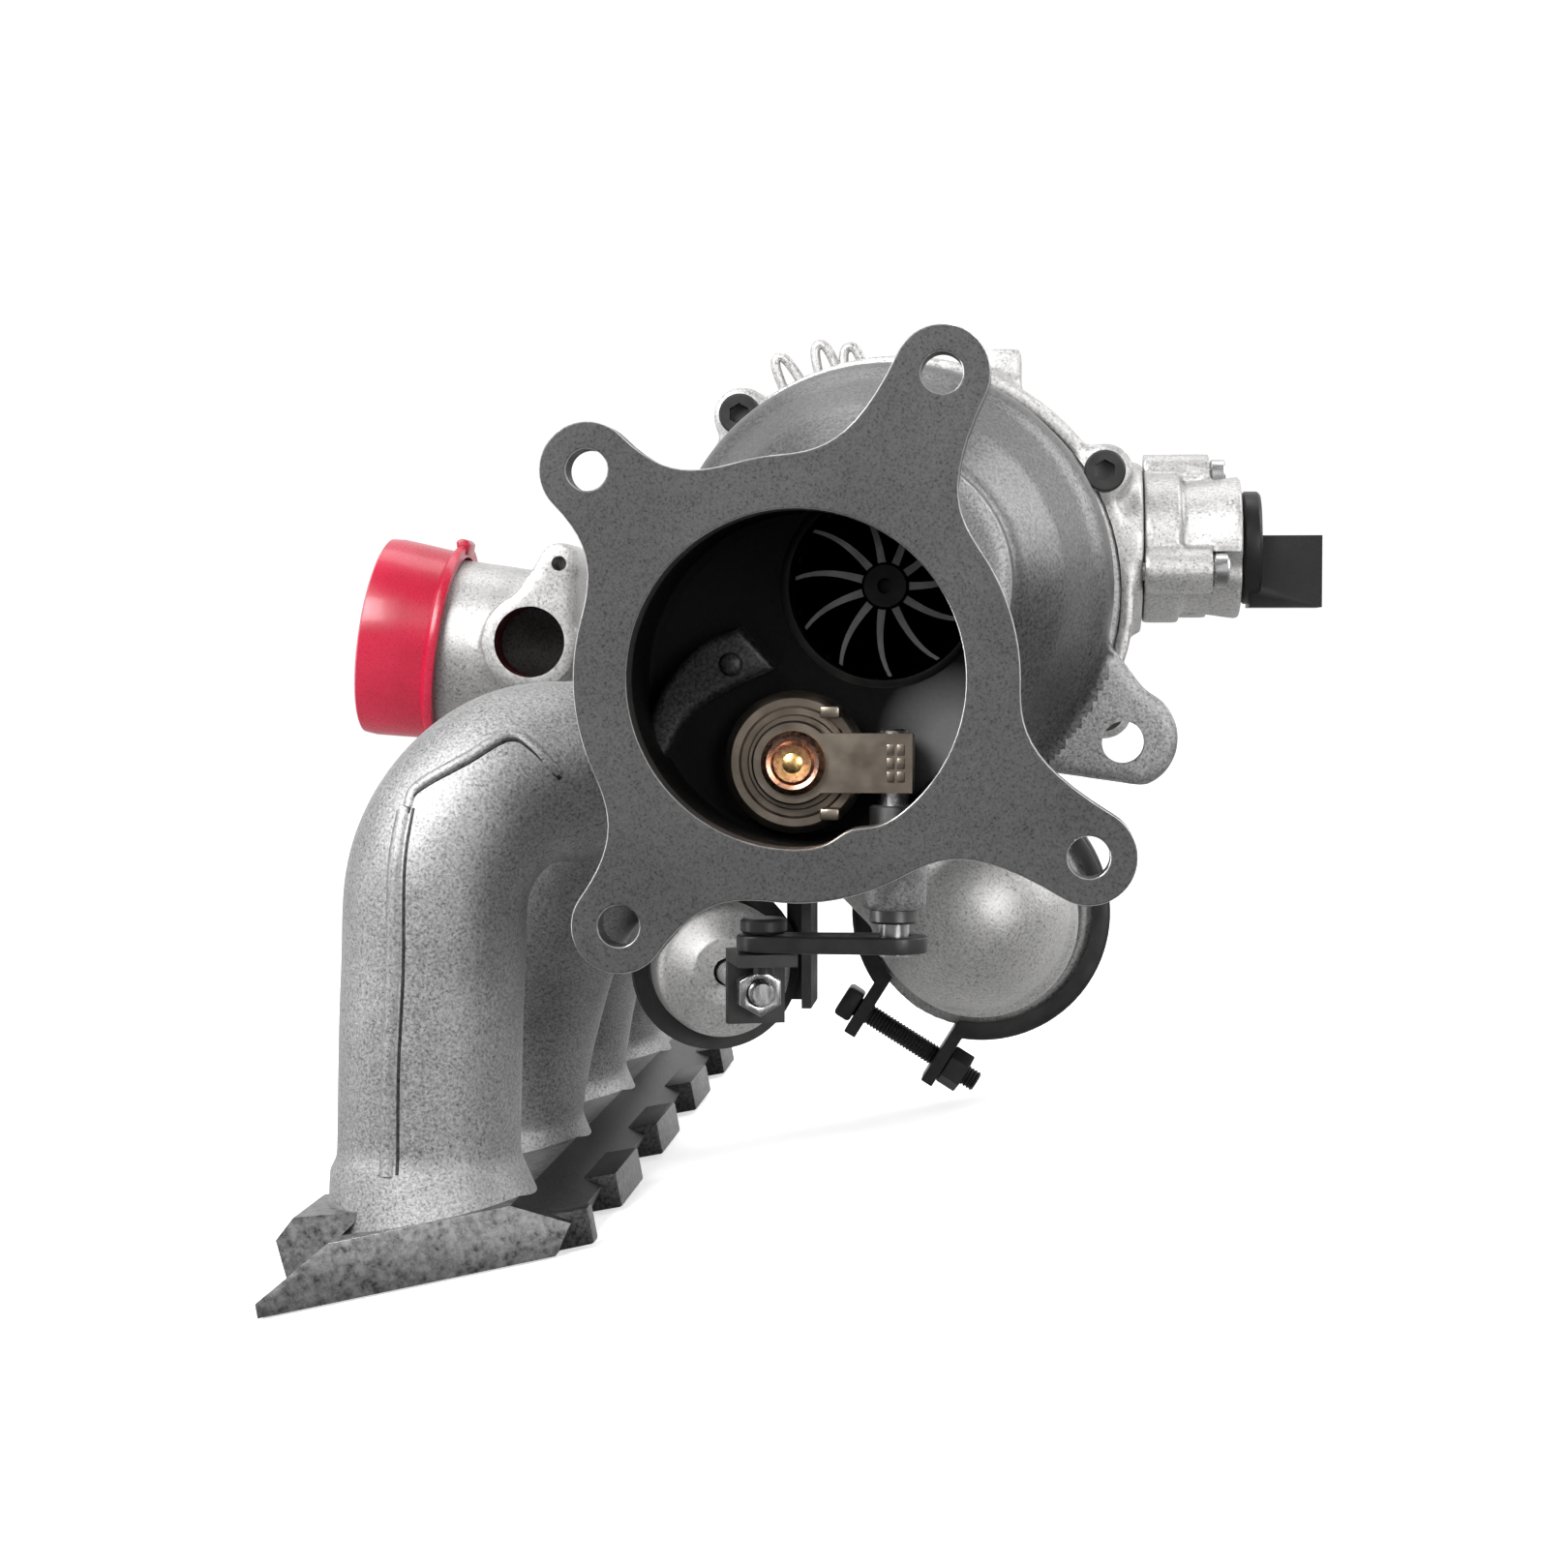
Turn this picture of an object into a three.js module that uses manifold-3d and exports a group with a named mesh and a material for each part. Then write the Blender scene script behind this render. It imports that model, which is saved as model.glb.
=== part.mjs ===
// Exhaust turbocharger with its exhaust manifold cast on, in millimetres, +Z up.
//
// The part's origin is the centre of the head flange's sealing face, which lies in the plane Z = 0
// and faces down. +Y runs along the rotor axis, from the turbine outlet to the compressor, and +X
// points away from the manifold. The turbo itself is clocked about the rotor axis against the head
// flange, so it is built in a frame of its own, the core: there the rotor axis is the line
// X = Z = 0 and the turbine outlet flange's face is the plane Y = 0.
import * as THREE from "three";
import { mergeVertices } from "three/addons/utils/BufferGeometryUtils.js";
import Module from "manifold-3d";

const wasm = await Module();
wasm.setup();

// ---------------------------------------------------------------- driving dimensions

const GAP = 0.3; // clearance kept between neighbouring pieces
const RUNNING_GAP = 0.06; // radial clearance of a bearing

// Head flange and runners
const PORT_PITCH = 88; // cylinder bore spacing of the engine
const PORT_COUNT = 4;
const HEAD_FLANGE = { half_width: 35, thickness: 14, near_y: -160, far_y: 174, skew: 14 };
const RUNNER = { outer: 22.5, foot: 27, bore: 17.5, neck: 15.5 };

// Where the core frame stands in the part's frame
const CLOCKING = THREE.MathUtils.degToRad(11);
const CORE_ORIGIN = new THREE.Vector3(141, -188, 141.8);

// Turbine outlet flange
const OUTLET = { x: -16.9, z: -22, bore: 37.9, body: 50, thickness: 9 };
const OUTLET_EARS = [
  { angle: 64.4, reach: 75 },
  { angle: 135, reach: 66.1 },
  { angle: 234.3, reach: 68.2 },
  { angle: 328.9, reach: 76.1 },
];
const OUTLET_EAR = { radius: 10.8, hole: 4.7, spread: 31 };

// Stations along the rotor axis
const CHAMBER_END = 50; // wall between outlet chamber and volute
const TURBINE = { front: 58, back: 82, exducer: 21.8, inducer: 25, hub: 5.5, blades: 11 };
const VOLUTE = { y: 76, ring: 39.5, section: 16, bore: 11.5 };
const TURBINE_JOINT = 98; // face where turbine housing and bearing housing meet
const JOINT = { radius: 44, neck: 38, thickness: 3 }; // the two flanges that the band clamps
const BEARING = { oil_y: 112, pocket_y: 116, pocket: 15, bore: 8 };
const SHAFT = { journal: 5, tail: 4, end: 170 };
const BACKPLATE = { front: 124, thickness: 4, radius: 58 };
const COVER_FACE = BACKPLATE.front + BACKPLATE.thickness + GAP;
const COMPRESSOR = { front: 132, back: 158, inducer: 22.5, exducer: 32, blades: 6 };
const SCROLL = { y: 143, ring: 46, section: 16, bore: 12 };

// Wastegate: an upright shaft with the flap arm inside and the lever outside
const GATE = { x: 3, y: 43, shaft: 3.6, bush: 5.8, flap_x: -20.5, flap_z: -42, flap: 17, port: 13 };
const ARM = { front: 38, back: 42.4, low: -49, high: -35 };
const LEVER = { z: -87, thickness: 4, length: 31 };

// Actuator: its rod leans towards the manifold, square to the lever at half stroke
const ROD_LEAN = THREE.MathUtils.degToRad(15.6);
const ROD = { z: -97.5, radius: 3 };
const CAN = { front: 52, length: 40, radius: 20 };

// Compressor outlet elbow, its joint and its clamp
const ELBOW = { x: 18.5, y: 146, z: -86, radius: 27, duct: 22, bore: 15 };
const SPIGOT = { x: 20.8, z: -88.3, joint: 177, radius: 24, length: 28 };
const BAND = { radius: 36, angle: 238 };

// Compressor inlet duct, with the breather port on its front and the cap on its mouth
const INLET = { outer: 25.5, bore: 21.5, mouth: new THREE.Vector3(-152, 200, -11.5), rise: 8.5 };
const BREATHER = { x: -106, z: -13, face: 168, bore: 10, screw_x: 8.5, screw_z: 22 };

// Diverter valve, standing out sideways from the compressor cover
const VALVE = { y: 146, z: 12, start: 64, end: 90, radius: 20, bore: 12 };

const COVER_BOLTS = { circle: 62, angles: [30, 131.8, 243, 330] };
const BRACKET_BOLT = 2; // the cover bolt that also holds the actuator's bracket
const BRACKET_PLATE = 2.5;
const SUPPORT_LUG = { x: 57.6, z: -38, hole: 5.2, thickness: 8 };

// ---------------------------------------------------------------- materials

const finish = (color, roughness, metalness) =>
  new THREE.MeshStandardMaterial({ color, roughness, metalness });
const castIron = finish(0x8f8f8d, 0.6, 0.85);
const castAluminium = finish(0xd9d9d6, 0.5, 0.8);
const machinedSteel = finish(0x9b9b99, 0.3, 1);
const blackSteel = finish(0x202022, 0.45, 0.7);
const heatTinted = finish(0x9a8c78, 0.4, 0.9);
const copper = finish(0xc98249, 0.3, 1);
const wheelAlloy = finish(0x3a3a3c, 0.45, 0.8);
const bronze = finish(0xa98548, 0.4, 0.9);
const blackPlastic = finish(0x141416, 0.5, 0);
const redPlastic = finish(0xb5162b, 0.35, 0);

// ---------------------------------------------------------------- shape helpers

const WELD = 1e-3; // vertices nearer than this are one
const SLIVER = 0.01; // faces thinner than this are taken out
const radians = THREE.MathUtils.degToRad;
const lerp = THREE.MathUtils.lerp;
const polar = (radius, degrees) => [
  radius * Math.cos(radians(degrees)),
  radius * Math.sin(radians(degrees)),
];

// The geometry with its near vertices merged into one and the triangles that this closes dropped.
function welded(geometry) {
  const bare = new THREE.BufferGeometry();
  const loose = geometry.index ? geometry.toNonIndexed() : geometry;
  bare.setAttribute("position", loose.getAttribute("position").clone());
  const merged = mergeVertices(bare, WELD);
  const kept = [];
  for (let i = 0; i < merged.index.count; i += 3) {
    const [a, b, c] = merged.index.array.slice(i, i + 3);
    if (a !== b && b !== c && c !== a) kept.push(a, b, c);
  }
  merged.setIndex(kept);
  return merged;
}

// A closed geometry as a manifold-3d solid, turned the right way out.
function solid(geometry) {
  const { attributes, index } = welded(geometry);
  const vertProperties = attributes.position.array;
  const made = (triVerts) =>
    new wasm.Manifold(new wasm.Mesh({ numProp: 3, vertProperties, triVerts }));
  const first = made(new Uint32Array(index.array));
  return first.volume() > 0 ? first : made(new Uint32Array(index.array).reverse());
}

function geometryOf(manifold) {
  const { vertProperties, triVerts } = manifold.simplify(SLIVER).getMesh();
  const geometry = new THREE.BufferGeometry();
  geometry.setAttribute("position", new THREE.BufferAttribute(vertProperties, 3));
  geometry.setIndex(new THREE.BufferAttribute(triVerts, 1));
  return welded(geometry);
}

// Joins the first list of geometries and cuts the second list out of them.
function carve(joined, cuts = []) {
  const all = joined.map(solid).reduce((sum, next) => sum.add(next));
  return geometryOf(cuts.map(solid).reduce((rest, cut) => rest.subtract(cut), all));
}

// A round piece about the Y axis, from its half section as [radius, y] points.
function turned(section, segments = 20) {
  const points = section.map(([radius, y]) => new THREE.Vector2(radius, y));
  if (THREE.ShapeUtils.area(points) < 0) points.reverse();
  const onAxis = points[0].x === 0 && points.at(-1).x === 0;
  if (!onAxis) points.push(points[0].clone());
  return new THREE.LatheGeometry(points, segments);
}

// A cylinder along Y from y0 to y1, centred on [x, z].
function rod(radius, y0, y1, [x, z] = [0, 0], segments = 16) {
  return new THREE.CylinderGeometry(radius, radius, y1 - y0, segments).translate(x, (y0 + y1) / 2, z);
}

// A cylinder along Z from z0 to z1, centred on [x, y].
function post(radius, z0, z1, [x, y], segments = 16) {
  return new THREE.CylinderGeometry(radius, radius, z1 - z0, segments)
    .rotateX(Math.PI / 2)
    .translate(x, y, (z0 + z1) / 2);
}

// A cylinder along X from x0 to x1, centred on [y, z].
function spindle(radius, x0, x1, [y, z], segments = 16) {
  return new THREE.CylinderGeometry(radius, radius, x1 - x0, segments)
    .rotateZ(Math.PI / 2)
    .translate((x0 + x1) / 2, y, z);
}

function block([x0, y0, z0], [x1, y1, z1]) {
  return new THREE.BoxGeometry(x1 - x0, y1 - y0, z1 - z0).translate(
    (x0 + x1) / 2,
    (y0 + y1) / 2,
    (z0 + z1) / 2,
  );
}

// A plate square to Y: the outline is drawn in X and Z.
function plateAcross(outline, y0, y1, curveSegments = 6) {
  return new THREE.ExtrudeGeometry(outline, { depth: y1 - y0, bevelEnabled: false, curveSegments })
    .rotateX(Math.PI / 2)
    .translate(0, y1, 0);
}

// A flat plate: the outline is drawn in X and Y.
function plateFlat(outline, z0, z1, curveSegments = 6) {
  return new THREE.ExtrudeGeometry(outline, { depth: z1 - z0, bevelEnabled: false, curveSegments })
    .translate(0, 0, z0);
}

function polygon(points) {
  return new THREE.Shape(points.map(([x, y]) => new THREE.Vector2(x, y)));
}

function circle(radius, segments) {
  return polygon(Array.from({ length: segments }, (_, i) => polar(radius, (i * 360) / segments)));
}

// A round bar along a smooth curve through the points.
function bar(points, radius, { segments = 16, steps = 12 } = {}) {
  const path = new THREE.CatmullRomCurve3(points.map((p) => new THREE.Vector3(...p)));
  return new THREE.ExtrudeGeometry(circle(radius, segments), {
    steps,
    extrudePath: path,
    bevelEnabled: false,
  });
}

function hexagon(acrossFlats) {
  const corner = acrossFlats / Math.sqrt(3);
  return polygon(Array.from({ length: 6 }, (_, i) => polar(corner, 60 * i + 30)));
}

// A hexagon nut along Y with a plain hole, standing on y0.
function nut(acrossFlats, hole, y0, height) {
  const outline = hexagon(acrossFlats);
  outline.holes.push(new THREE.Path().absarc(0, 0, hole, 0, 2 * Math.PI));
  return plateAcross(outline, y0, y0 + height);
}

// A coil spring along Y.
function coilSpring(radius, wire, y0, y1, turns) {
  const points = [];
  const perTurn = 12;
  for (let i = 0; i <= turns * perTurn; i += 1) {
    const [x, z] = polar(radius, (360 * i) / perTurn);
    points.push([x, y0 + ((y1 - y0) * i) / (turns * perTurn), z]);
  }
  return bar(points, wire, { segments: 5, steps: turns * perTurn });
}

const root = new THREE.Group();
const core = new THREE.Group();
core.rotation.y = CLOCKING;
core.position.copy(CORE_ORIGIN);
core.updateMatrix();
root.add(core);

function piece(name, material, geometry, parent = core) {
  const mesh = new THREE.Mesh(geometry, material);
  mesh.name = name;
  parent.add(mesh);
  return mesh;
}

// ---------------------------------------------------------------- turbine housing casting

// The outlet flange's outline: a round body with an ear over each stud, blended in on both sides.
function outletFlangeOutline() {
  const shape = new THREE.Shape();
  const { radius, spread } = OUTLET_EAR;
  const onBody = (degrees) => polar(OUTLET.body, degrees).map((v, i) => v + [OUTLET.x, OUTLET.z][i]);
  OUTLET_EARS.forEach(({ angle, reach }, index) => {
    const [ux, uz] = polar(1, angle);
    const side = (along, across) => [
      OUTLET.x + ux * along - uz * across,
      OUTLET.z + uz * along + ux * across,
    ];
    const neck = OUTLET.body + 2;
    const lean = OUTLET.body * Math.cos(radians(spread * 0.55));
    const start = onBody(angle - spread);
    if (index === 0) shape.moveTo(...start);
    else shape.absarc(OUTLET.x, OUTLET.z, OUTLET.body, ...arcFrom(index - 1, angle - spread));
    shape.bezierCurveTo(...side(lean, -radius * 1.6), ...side(neck, -radius), ...side(reach, -radius));
    const [cx, cz] = side(reach, 0);
    shape.absarc(cx, cz, radius, radians(angle - 90), radians(angle + 90), false);
    shape.bezierCurveTo(...side(neck, radius), ...side(lean, radius * 1.6), ...onBody(angle + spread));
  });
  const last = OUTLET_EARS.length - 1;
  shape.absarc(
    OUTLET.x,
    OUTLET.z,
    OUTLET.body,
    ...arcFrom(last, OUTLET_EARS[0].angle + 360 - spread),
  );
  return shape;
}

// Angles of the stretch of body from the ear before up to the given angle.
function arcFrom(earIndex, untilDegrees) {
  const { angle } = OUTLET_EARS[earIndex];
  return [radians(angle + OUTLET_EAR.spread), radians(untilDegrees), false];
}

function outletEarCentre({ angle, reach }) {
  const [dx, dz] = polar(reach, angle);
  return [OUTLET.x + dx, OUTLET.z + dz];
}

// The head flange, in the part's frame: bevelled along both long sides, with bolt lugs on the
// outer side and a skewed near end.
function headFlange() {
  const { half_width: half, thickness, near_y: near, far_y: far, skew } = HEAD_FLANGE;
  const section = polygon([
    [-half, 0],
    [half, 0],
    [half + 5, thickness * 0.5],
    [half - 8, thickness],
    [-half + 19, thickness],
    [-half, 3.5],
  ]);
  const beam = plateAcross(section, near - skew, far);
  const lugs = Array.from({ length: PORT_COUNT + 1 }, (_, i) => {
    const y = (i - PORT_COUNT / 2) * (PORT_PITCH * 0.92);
    return block([half - 9, y - 13, 0.5], [half + 9, y + 13, thickness - 3]);
  });
  const wedge = polygon([
    [-half - 20, near - 40],
    [half + 20, near - 40],
    [half + 20, near + skew * 0.75],
    [-half - 20, near - skew * 0.75],
  ]);
  return carve([beam, ...lugs], [plateFlat(wedge, -1, thickness + 1)]);
}

// Centre lines of the four runners in the part's frame, from the head flange to the collector.
const RUNNER_PATHS = [
  [
    [2, -132, 14],
    [14, -132, 68],
    [23, -131, 98],
    [43, -122, 113],
    [70, -100, 108],
  ],
  [
    [2, -44, 14],
    [16, -50, 48],
    [36, -64, 80],
    [66, -84, 103],
  ],
  [
    [2, 44, 14],
    [14, 36, 46],
    [33, 8, 76],
    [56, -26, 94],
  ],
  [
    [2, 132, 14],
    [12, 122, 44],
    [30, 92, 68],
    [48, 44, 83],
    [55, 0, 90],
  ],
];
// The collector runs forward past the ends of the runners, and its neck turns into the volute.
const COLLECTOR_PATH = [
  [55, 4, 90],
  [58, -40, 94],
  [70, -82, 104],
  [82, -100, 108],
];
const NECK_PATH = [
  [70, -96, 104],
  [90, -110, 110],
  [116, -112, 114],
];

// The casting of manifold and turbine housing is drawn as several nodes that meet at a hairline, so
// that each one is a simple shape. Each `spare` below grows a shape by that hairline.
const HAIRLINE = 0.1;
const BEND = { segments: 12, steps: 4 };

function runnerWalls(path, spare = 0) {
  const [[x, y]] = path;
  const foot = new THREE.CylinderGeometry(RUNNER.outer + spare, RUNNER.foot + spare, 20, 16)
    .rotateX(Math.PI / 2)
    .translate(x + 1, y, 19);
  return [bar(path, RUNNER.outer + spare, BEND), foot];
}

function collectorWalls(spare = 0) {
  return [
    bar(COLLECTOR_PATH, RUNNER.outer + 2 + spare, BEND),
    bar(NECK_PATH, RUNNER.neck + spare, BEND),
  ];
}

function runnerBores() {
  const fineness = { segments: 8, steps: 4 };
  const bores = RUNNER_PATHS.map((path) => bar(path, RUNNER.bore, fineness));
  const mouths = RUNNER_PATHS.map(([[x, y]]) => post(RUNNER.bore, -2, 20, [x, y], 12));
  const collector = bar(COLLECTOR_PATH, RUNNER.bore + 1, fineness);
  return [...bores, ...mouths, collector, bar(NECK_PATH, RUNNER.neck - 4, fineness)];
}

// The rounded ring of a volute as a half section round [ring, y].
function ringSection(ring, y, radius, count) {
  return Array.from({ length: count }, (_, i) => {
    const [dr, dy] = polar(radius, (360 * i) / count);
    return [ring + dr, y + dy];
  });
}

function supportLug() {
  const { x, z, thickness } = SUPPORT_LUG;
  const outline = polygon([
    [30, -28],
    [53, -10],
    [x + 12, z + 13],
    [x + 13, z - 5],
    [x + 8, z - 13],
    [x - 4, z - 14],
    [30, -44],
  ]);
  return plateAcross(outline, VOLUTE.y - thickness / 2, VOLUTE.y + thickness / 2);
}

function chamberWalls(spare = 0) {
  const centre = [OUTLET.x, OUTLET.z];
  return [
    rod(OUTLET.bore + 7.5 + spare, OUTLET.thickness + HAIRLINE - spare, CHAMBER_END + 12, centre, 20),
    rod(31, 20, VOLUTE.y, [0, 0]),
    turned(ringSection(VOLUTE.ring, VOLUTE.y, VOLUTE.section + spare, 10), 24),
    rod(VOLUTE.ring, CHAMBER_END, VOLUTE.y + 16 + spare, [0, 0], 24),
  ];
}

function turbineRooms() {
  const centre = [OUTLET.x, OUTLET.z];
  return [
    rod(OUTLET.bore + 1.2, OUTLET.thickness - 1, CHAMBER_END, centre, 28),
    rod(26, 14, CHAMBER_END, [0, 0], 20),
    rod(TURBINE.exducer + 0.8, CHAMBER_END - 2, VOLUTE.y, [0, 0], 20),
    rod(TURBINE.inducer + 1, VOLUTE.y - 9, VOLUTE.y + 9, [0, 0], 20),
    turned(ringSection(VOLUTE.ring, VOLUTE.y, VOLUTE.bore, 6), 20),
    rod(VOLUTE.ring - 2, VOLUTE.y - 4, VOLUTE.y + 4, [0, 0], 20),
    rod(34, VOLUTE.y + 4, TURBINE_JOINT + 1, [0, 0], 20),
    rod(SUPPORT_LUG.hole, VOLUTE.y - 9, VOLUTE.y + 9, [SUPPORT_LUG.x, SUPPORT_LUG.z], 12),
    ...runnerBores().map(toCore),
  ];
}

// Moves a piece drawn in the part's frame into the core.
function toCore(geometry) {
  return geometry.applyMatrix4(core.matrix.clone().invert());
}

function outletFlange() {
  const holes = OUTLET_EARS.map((ear) =>
    rod(OUTLET_EAR.hole, -1, OUTLET.thickness + 1, outletEarCentre(ear), 12),
  );
  const bore = rod(OUTLET.bore, -1, OUTLET.thickness + 1, [OUTLET.x, OUTLET.z], 28);
  return carve([plateAcross(outletFlangeOutline(), 0, OUTLET.thickness, 4)], [bore, ...holes]);
}

function turbineHousing() {
  const gate = [GATE.x, GATE.y];
  const flap = [GATE.flap_x, GATE.flap_z];
  const joint = turned([
    [0, VOLUTE.y],
    [JOINT.neck, VOLUTE.y],
    [JOINT.neck, TURBINE_JOINT - JOINT.thickness],
    [JOINT.radius, TURBINE_JOINT - JOINT.thickness],
    [JOINT.radius, TURBINE_JOINT],
    [0, TURBINE_JOINT],
  ], 24);
  const shell = carve([...chamberWalls(), joint, supportLug()], turbineRooms());
  const seat = rod(GATE.port + 3, CHAMBER_END - 2.5, CHAMBER_END + 2, flap, 20);
  const gateBoss = post(GATE.bush + 2, -77, -54.5, gate, 16);
  const gatePort = rod(GATE.port, CHAMBER_END - 3, VOLUTE.y, flap, 20);
  const gateBore = post(GATE.bush + GAP, -80, -48, gate, 16);
  return carve([shell, gateBoss, seat], [gatePort, gateBore]);
}

// The largest body of a geometry, without the crumbs that cutting it free has left.
function largestBody(geometry) {
  const bodies = solid(geometry).decompose();
  return geometryOf(bodies.reduce((best, next) => (next.volume() > best.volume() ? next : best)));
}

function buildManifold() {
  const flange = () => headFlange().translate(0, 0, HAIRLINE);
  const toPart = (geometry) => geometry.applyMatrix4(core.matrix);
  const turbine = () => chamberWalls(HAIRLINE).map(toPart);
  piece("head_flange", castIron, carve([headFlange()], runnerBores()), root);
  const collector = carve(collectorWalls(), [...turbine(), ...runnerBores()]);
  piece("manifold_collector", castIron, largestBody(collector), root);
  RUNNER_PATHS.forEach((path, i) => {
    const before = RUNNER_PATHS.slice(0, i).flatMap((other) => runnerWalls(other, HAIRLINE));
    const neighbours = [flange(), ...collectorWalls(HAIRLINE), ...turbine(), ...before];
    const runner = carve(runnerWalls(path), [...neighbours, ...runnerBores()]);
    piece(`manifold_runner_${i + 1}`, castIron, largestBody(runner), root);
  });
}

piece("outlet_flange", castIron, outletFlange());
piece("turbine_housing", castIron, turbineHousing());
buildManifold();

// ---------------------------------------------------------------- rotor

// Blades stand on the hub as thin boxes, each wrapped round the axis by its own twist.
function blade({ front, back, rootRadius, tip, thickness, twist }) {
  const rows = 4;
  const slab = new THREE.BoxGeometry(1, 1, 1, 1, rows, 1);
  const place = slab.getAttribute("position");
  for (let i = 0; i < place.count; i += 1) {
    const along = place.getY(i) + 0.5;
    const radius = lerp(rootRadius, tip(along), place.getX(i) + 0.5);
    const turn = twist * along * along + (place.getZ(i) * thickness) / radius;
    place.setXYZ(
      i,
      radius * Math.cos(turn),
      lerp(front, back, along),
      radius * Math.sin(turn),
    );
  }
  return slab;
}

function bladedWheel(hub, bladeShapes, count) {
  const blades = [];
  for (let i = 0; i < count; i += 1) {
    bladeShapes.forEach((shape, j) => {
      const turn = (2 * Math.PI * (i + j / bladeShapes.length)) / count;
      blades.push(blade(shape).rotateY(turn));
    });
  }
  return carve([hub, ...blades]);
}

function turbineWheel() {
  const { front, back, hub } = TURBINE;
  const body = turned(
    [
      [0, front + 3],
      [2, front + 3],
      [2, front - 1],
      [hub, front - 1],
      [hub + 0.5, front + 8],
      [hub + 5, front + 16],
      [hub + 12, front + 20],
      [22, back - 1.5],
      [22, back],
      [0, back],
    ],
    16,
  );
  const tip = (along) =>
    lerp(TURBINE.exducer, TURBINE.inducer, THREE.MathUtils.smoothstep(along, 0.5, 0.8));
  const shape = {
    front: front + 0.5,
    back: back - 1,
    rootRadius: 3,
    tip,
    thickness: 1.3,
    twist: -0.7,
  };
  return bladedWheel(body, [shape], TURBINE.blades);
}

function compressorWheel() {
  const { front, back, inducer, exducer } = COMPRESSOR;
  const body = turned(
    [
      [SHAFT.tail + GAP, front],
      [exducer, front],
      [exducer, front + 1.6],
      [20, front + 4],
      [12, front + 10],
      [8, back],
      [SHAFT.tail + GAP, back],
    ],
    16,
  );
  const tip = (along) => lerp(exducer, inducer, THREE.MathUtils.smoothstep(along, 0.12, 0.62));
  const full = { front: front + 1, back: back - 1, rootRadius: 6, tip, thickness: 1, twist: 0.9 };
  const splitter = { ...full, back: back - 9 };
  return bladedWheel(body, [full, splitter], COMPRESSOR.blades);
}

piece("turbine_wheel", wheelAlloy, turbineWheel());
piece(
  "rotor_shaft",
  machinedSteel,
  turned(
    [
      [0, TURBINE.back + GAP],
      [9, TURBINE.back + GAP],
      [9, TURBINE_JOINT - 7],
      [SHAFT.journal, TURBINE_JOINT - 6],
      [SHAFT.journal, BEARING.pocket_y],
      [SHAFT.tail, BEARING.pocket_y],
      [SHAFT.tail, SHAFT.end],
      [0, SHAFT.end],
    ],
    20,
  ),
);
piece("compressor_wheel", castAluminium, compressorWheel());
piece(
  "thrust_collar",
  machinedSteel,
  turned([
    [SHAFT.tail + GAP, BEARING.pocket_y + GAP],
    [11, BEARING.pocket_y + GAP],
    [11, BEARING.pocket_y + 2.4],
    [6.4, BEARING.pocket_y + 2.6],
    [6.4, COMPRESSOR.front - GAP],
    [SHAFT.tail + GAP, COMPRESSOR.front - GAP],
  ], 20),
);
piece("compressor_nut", machinedSteel, nut(12, SHAFT.tail + GAP, COMPRESSOR.back + GAP, 6));

// ---------------------------------------------------------------- bearing housing

function bearingHousing() {
  const flange = TURBINE_JOINT + GAP;
  const end = BACKPLATE.front - GAP;
  const body = turned([
    [9.6, 88],
    [30, 88],
    [32, flange],
    [JOINT.radius, flange],
    [JOINT.radius, flange + JOINT.thickness],
    [33, flange + JOINT.thickness],
    [26, 108],
    [27, 118],
    [38, 120],
    [38, end],
    [BEARING.pocket, end],
    [BEARING.pocket, BEARING.pocket_y - 0.5],
    [BEARING.bore, BEARING.pocket_y - 0.5],
    [BEARING.bore, TURBINE_JOINT - 6],
    [9.6, TURBINE_JOINT - 6],
  ], 24);
  const place = [0, BEARING.oil_y];
  return carve(
    [body, post(8, 20, 41, place), post(8.5, -42, -20, place)],
    [post(3, 5, 45, place, 10), post(5.5, -45, -5, place, 12)],
  );
}

function oilFeedUnion() {
  const foot = 41 + GAP;
  const hex = plateFlat(hexagon(15), foot, foot + 7);
  const shank = post(5, foot, foot + 15, [0, 0]);
  const bore = post(2, foot - 2, foot + 18, [0, 0], 10);
  return carve([shank, hex], [bore]).translate(0, BEARING.oil_y, 0);
}

function oilDrainFlange() {
  const top = -42 - GAP;
  const outline = polygon([
    [-20, -5],
    [-9, -8.5],
    [9, -8.5],
    [20, -5],
    [20, 5],
    [9, 8.5],
    [-9, 8.5],
    [-20, 5],
  ]);
  const plate = plateFlat(outline, top - 6, top);
  const spout = post(8, top - 16, top - 3, [0, 0]);
  const bore = post(5.5, top - 20, top + 2, [0, 0], 12);
  return carve([plate, spout], [bore]).translate(0, BEARING.oil_y, 0);
}

piece("bearing_housing", castIron, bearingHousing());
["turbine_bearing", "compressor_bearing"].forEach((name, i) => {
  const start = TURBINE_JOINT - 5 + 13 * i;
  const bush = [
    [SHAFT.journal + RUNNING_GAP, start],
    [BEARING.bore - RUNNING_GAP, start],
    [BEARING.bore - RUNNING_GAP, start + 8],
    [SHAFT.journal + RUNNING_GAP, start + 8],
  ];
  piece(name, bronze, turned(bush, 24));
});
piece(
  "heat_shield",
  heatTinted,
  turned([
    [10.5, TURBINE.back + 2],
    [31, TURBINE.back + 2],
    [33, TURBINE.back + 5],
    [33, TURBINE_JOINT - 3],
    [32.3, TURBINE_JOINT - 3],
    [32.3, TURBINE.back + 6],
    [30.5, TURBINE.back + 3],
    [10.5, TURBINE.back + 3],
  ]),
);
piece(
  "thrust_bearing",
  bronze,
  turned([
    [7, BEARING.pocket_y + 3],
    [BEARING.pocket - GAP, BEARING.pocket_y + 3],
    [BEARING.pocket - GAP, BEARING.pocket_y + 6],
    [7, BEARING.pocket_y + 6],
  ], 20),
);
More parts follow.
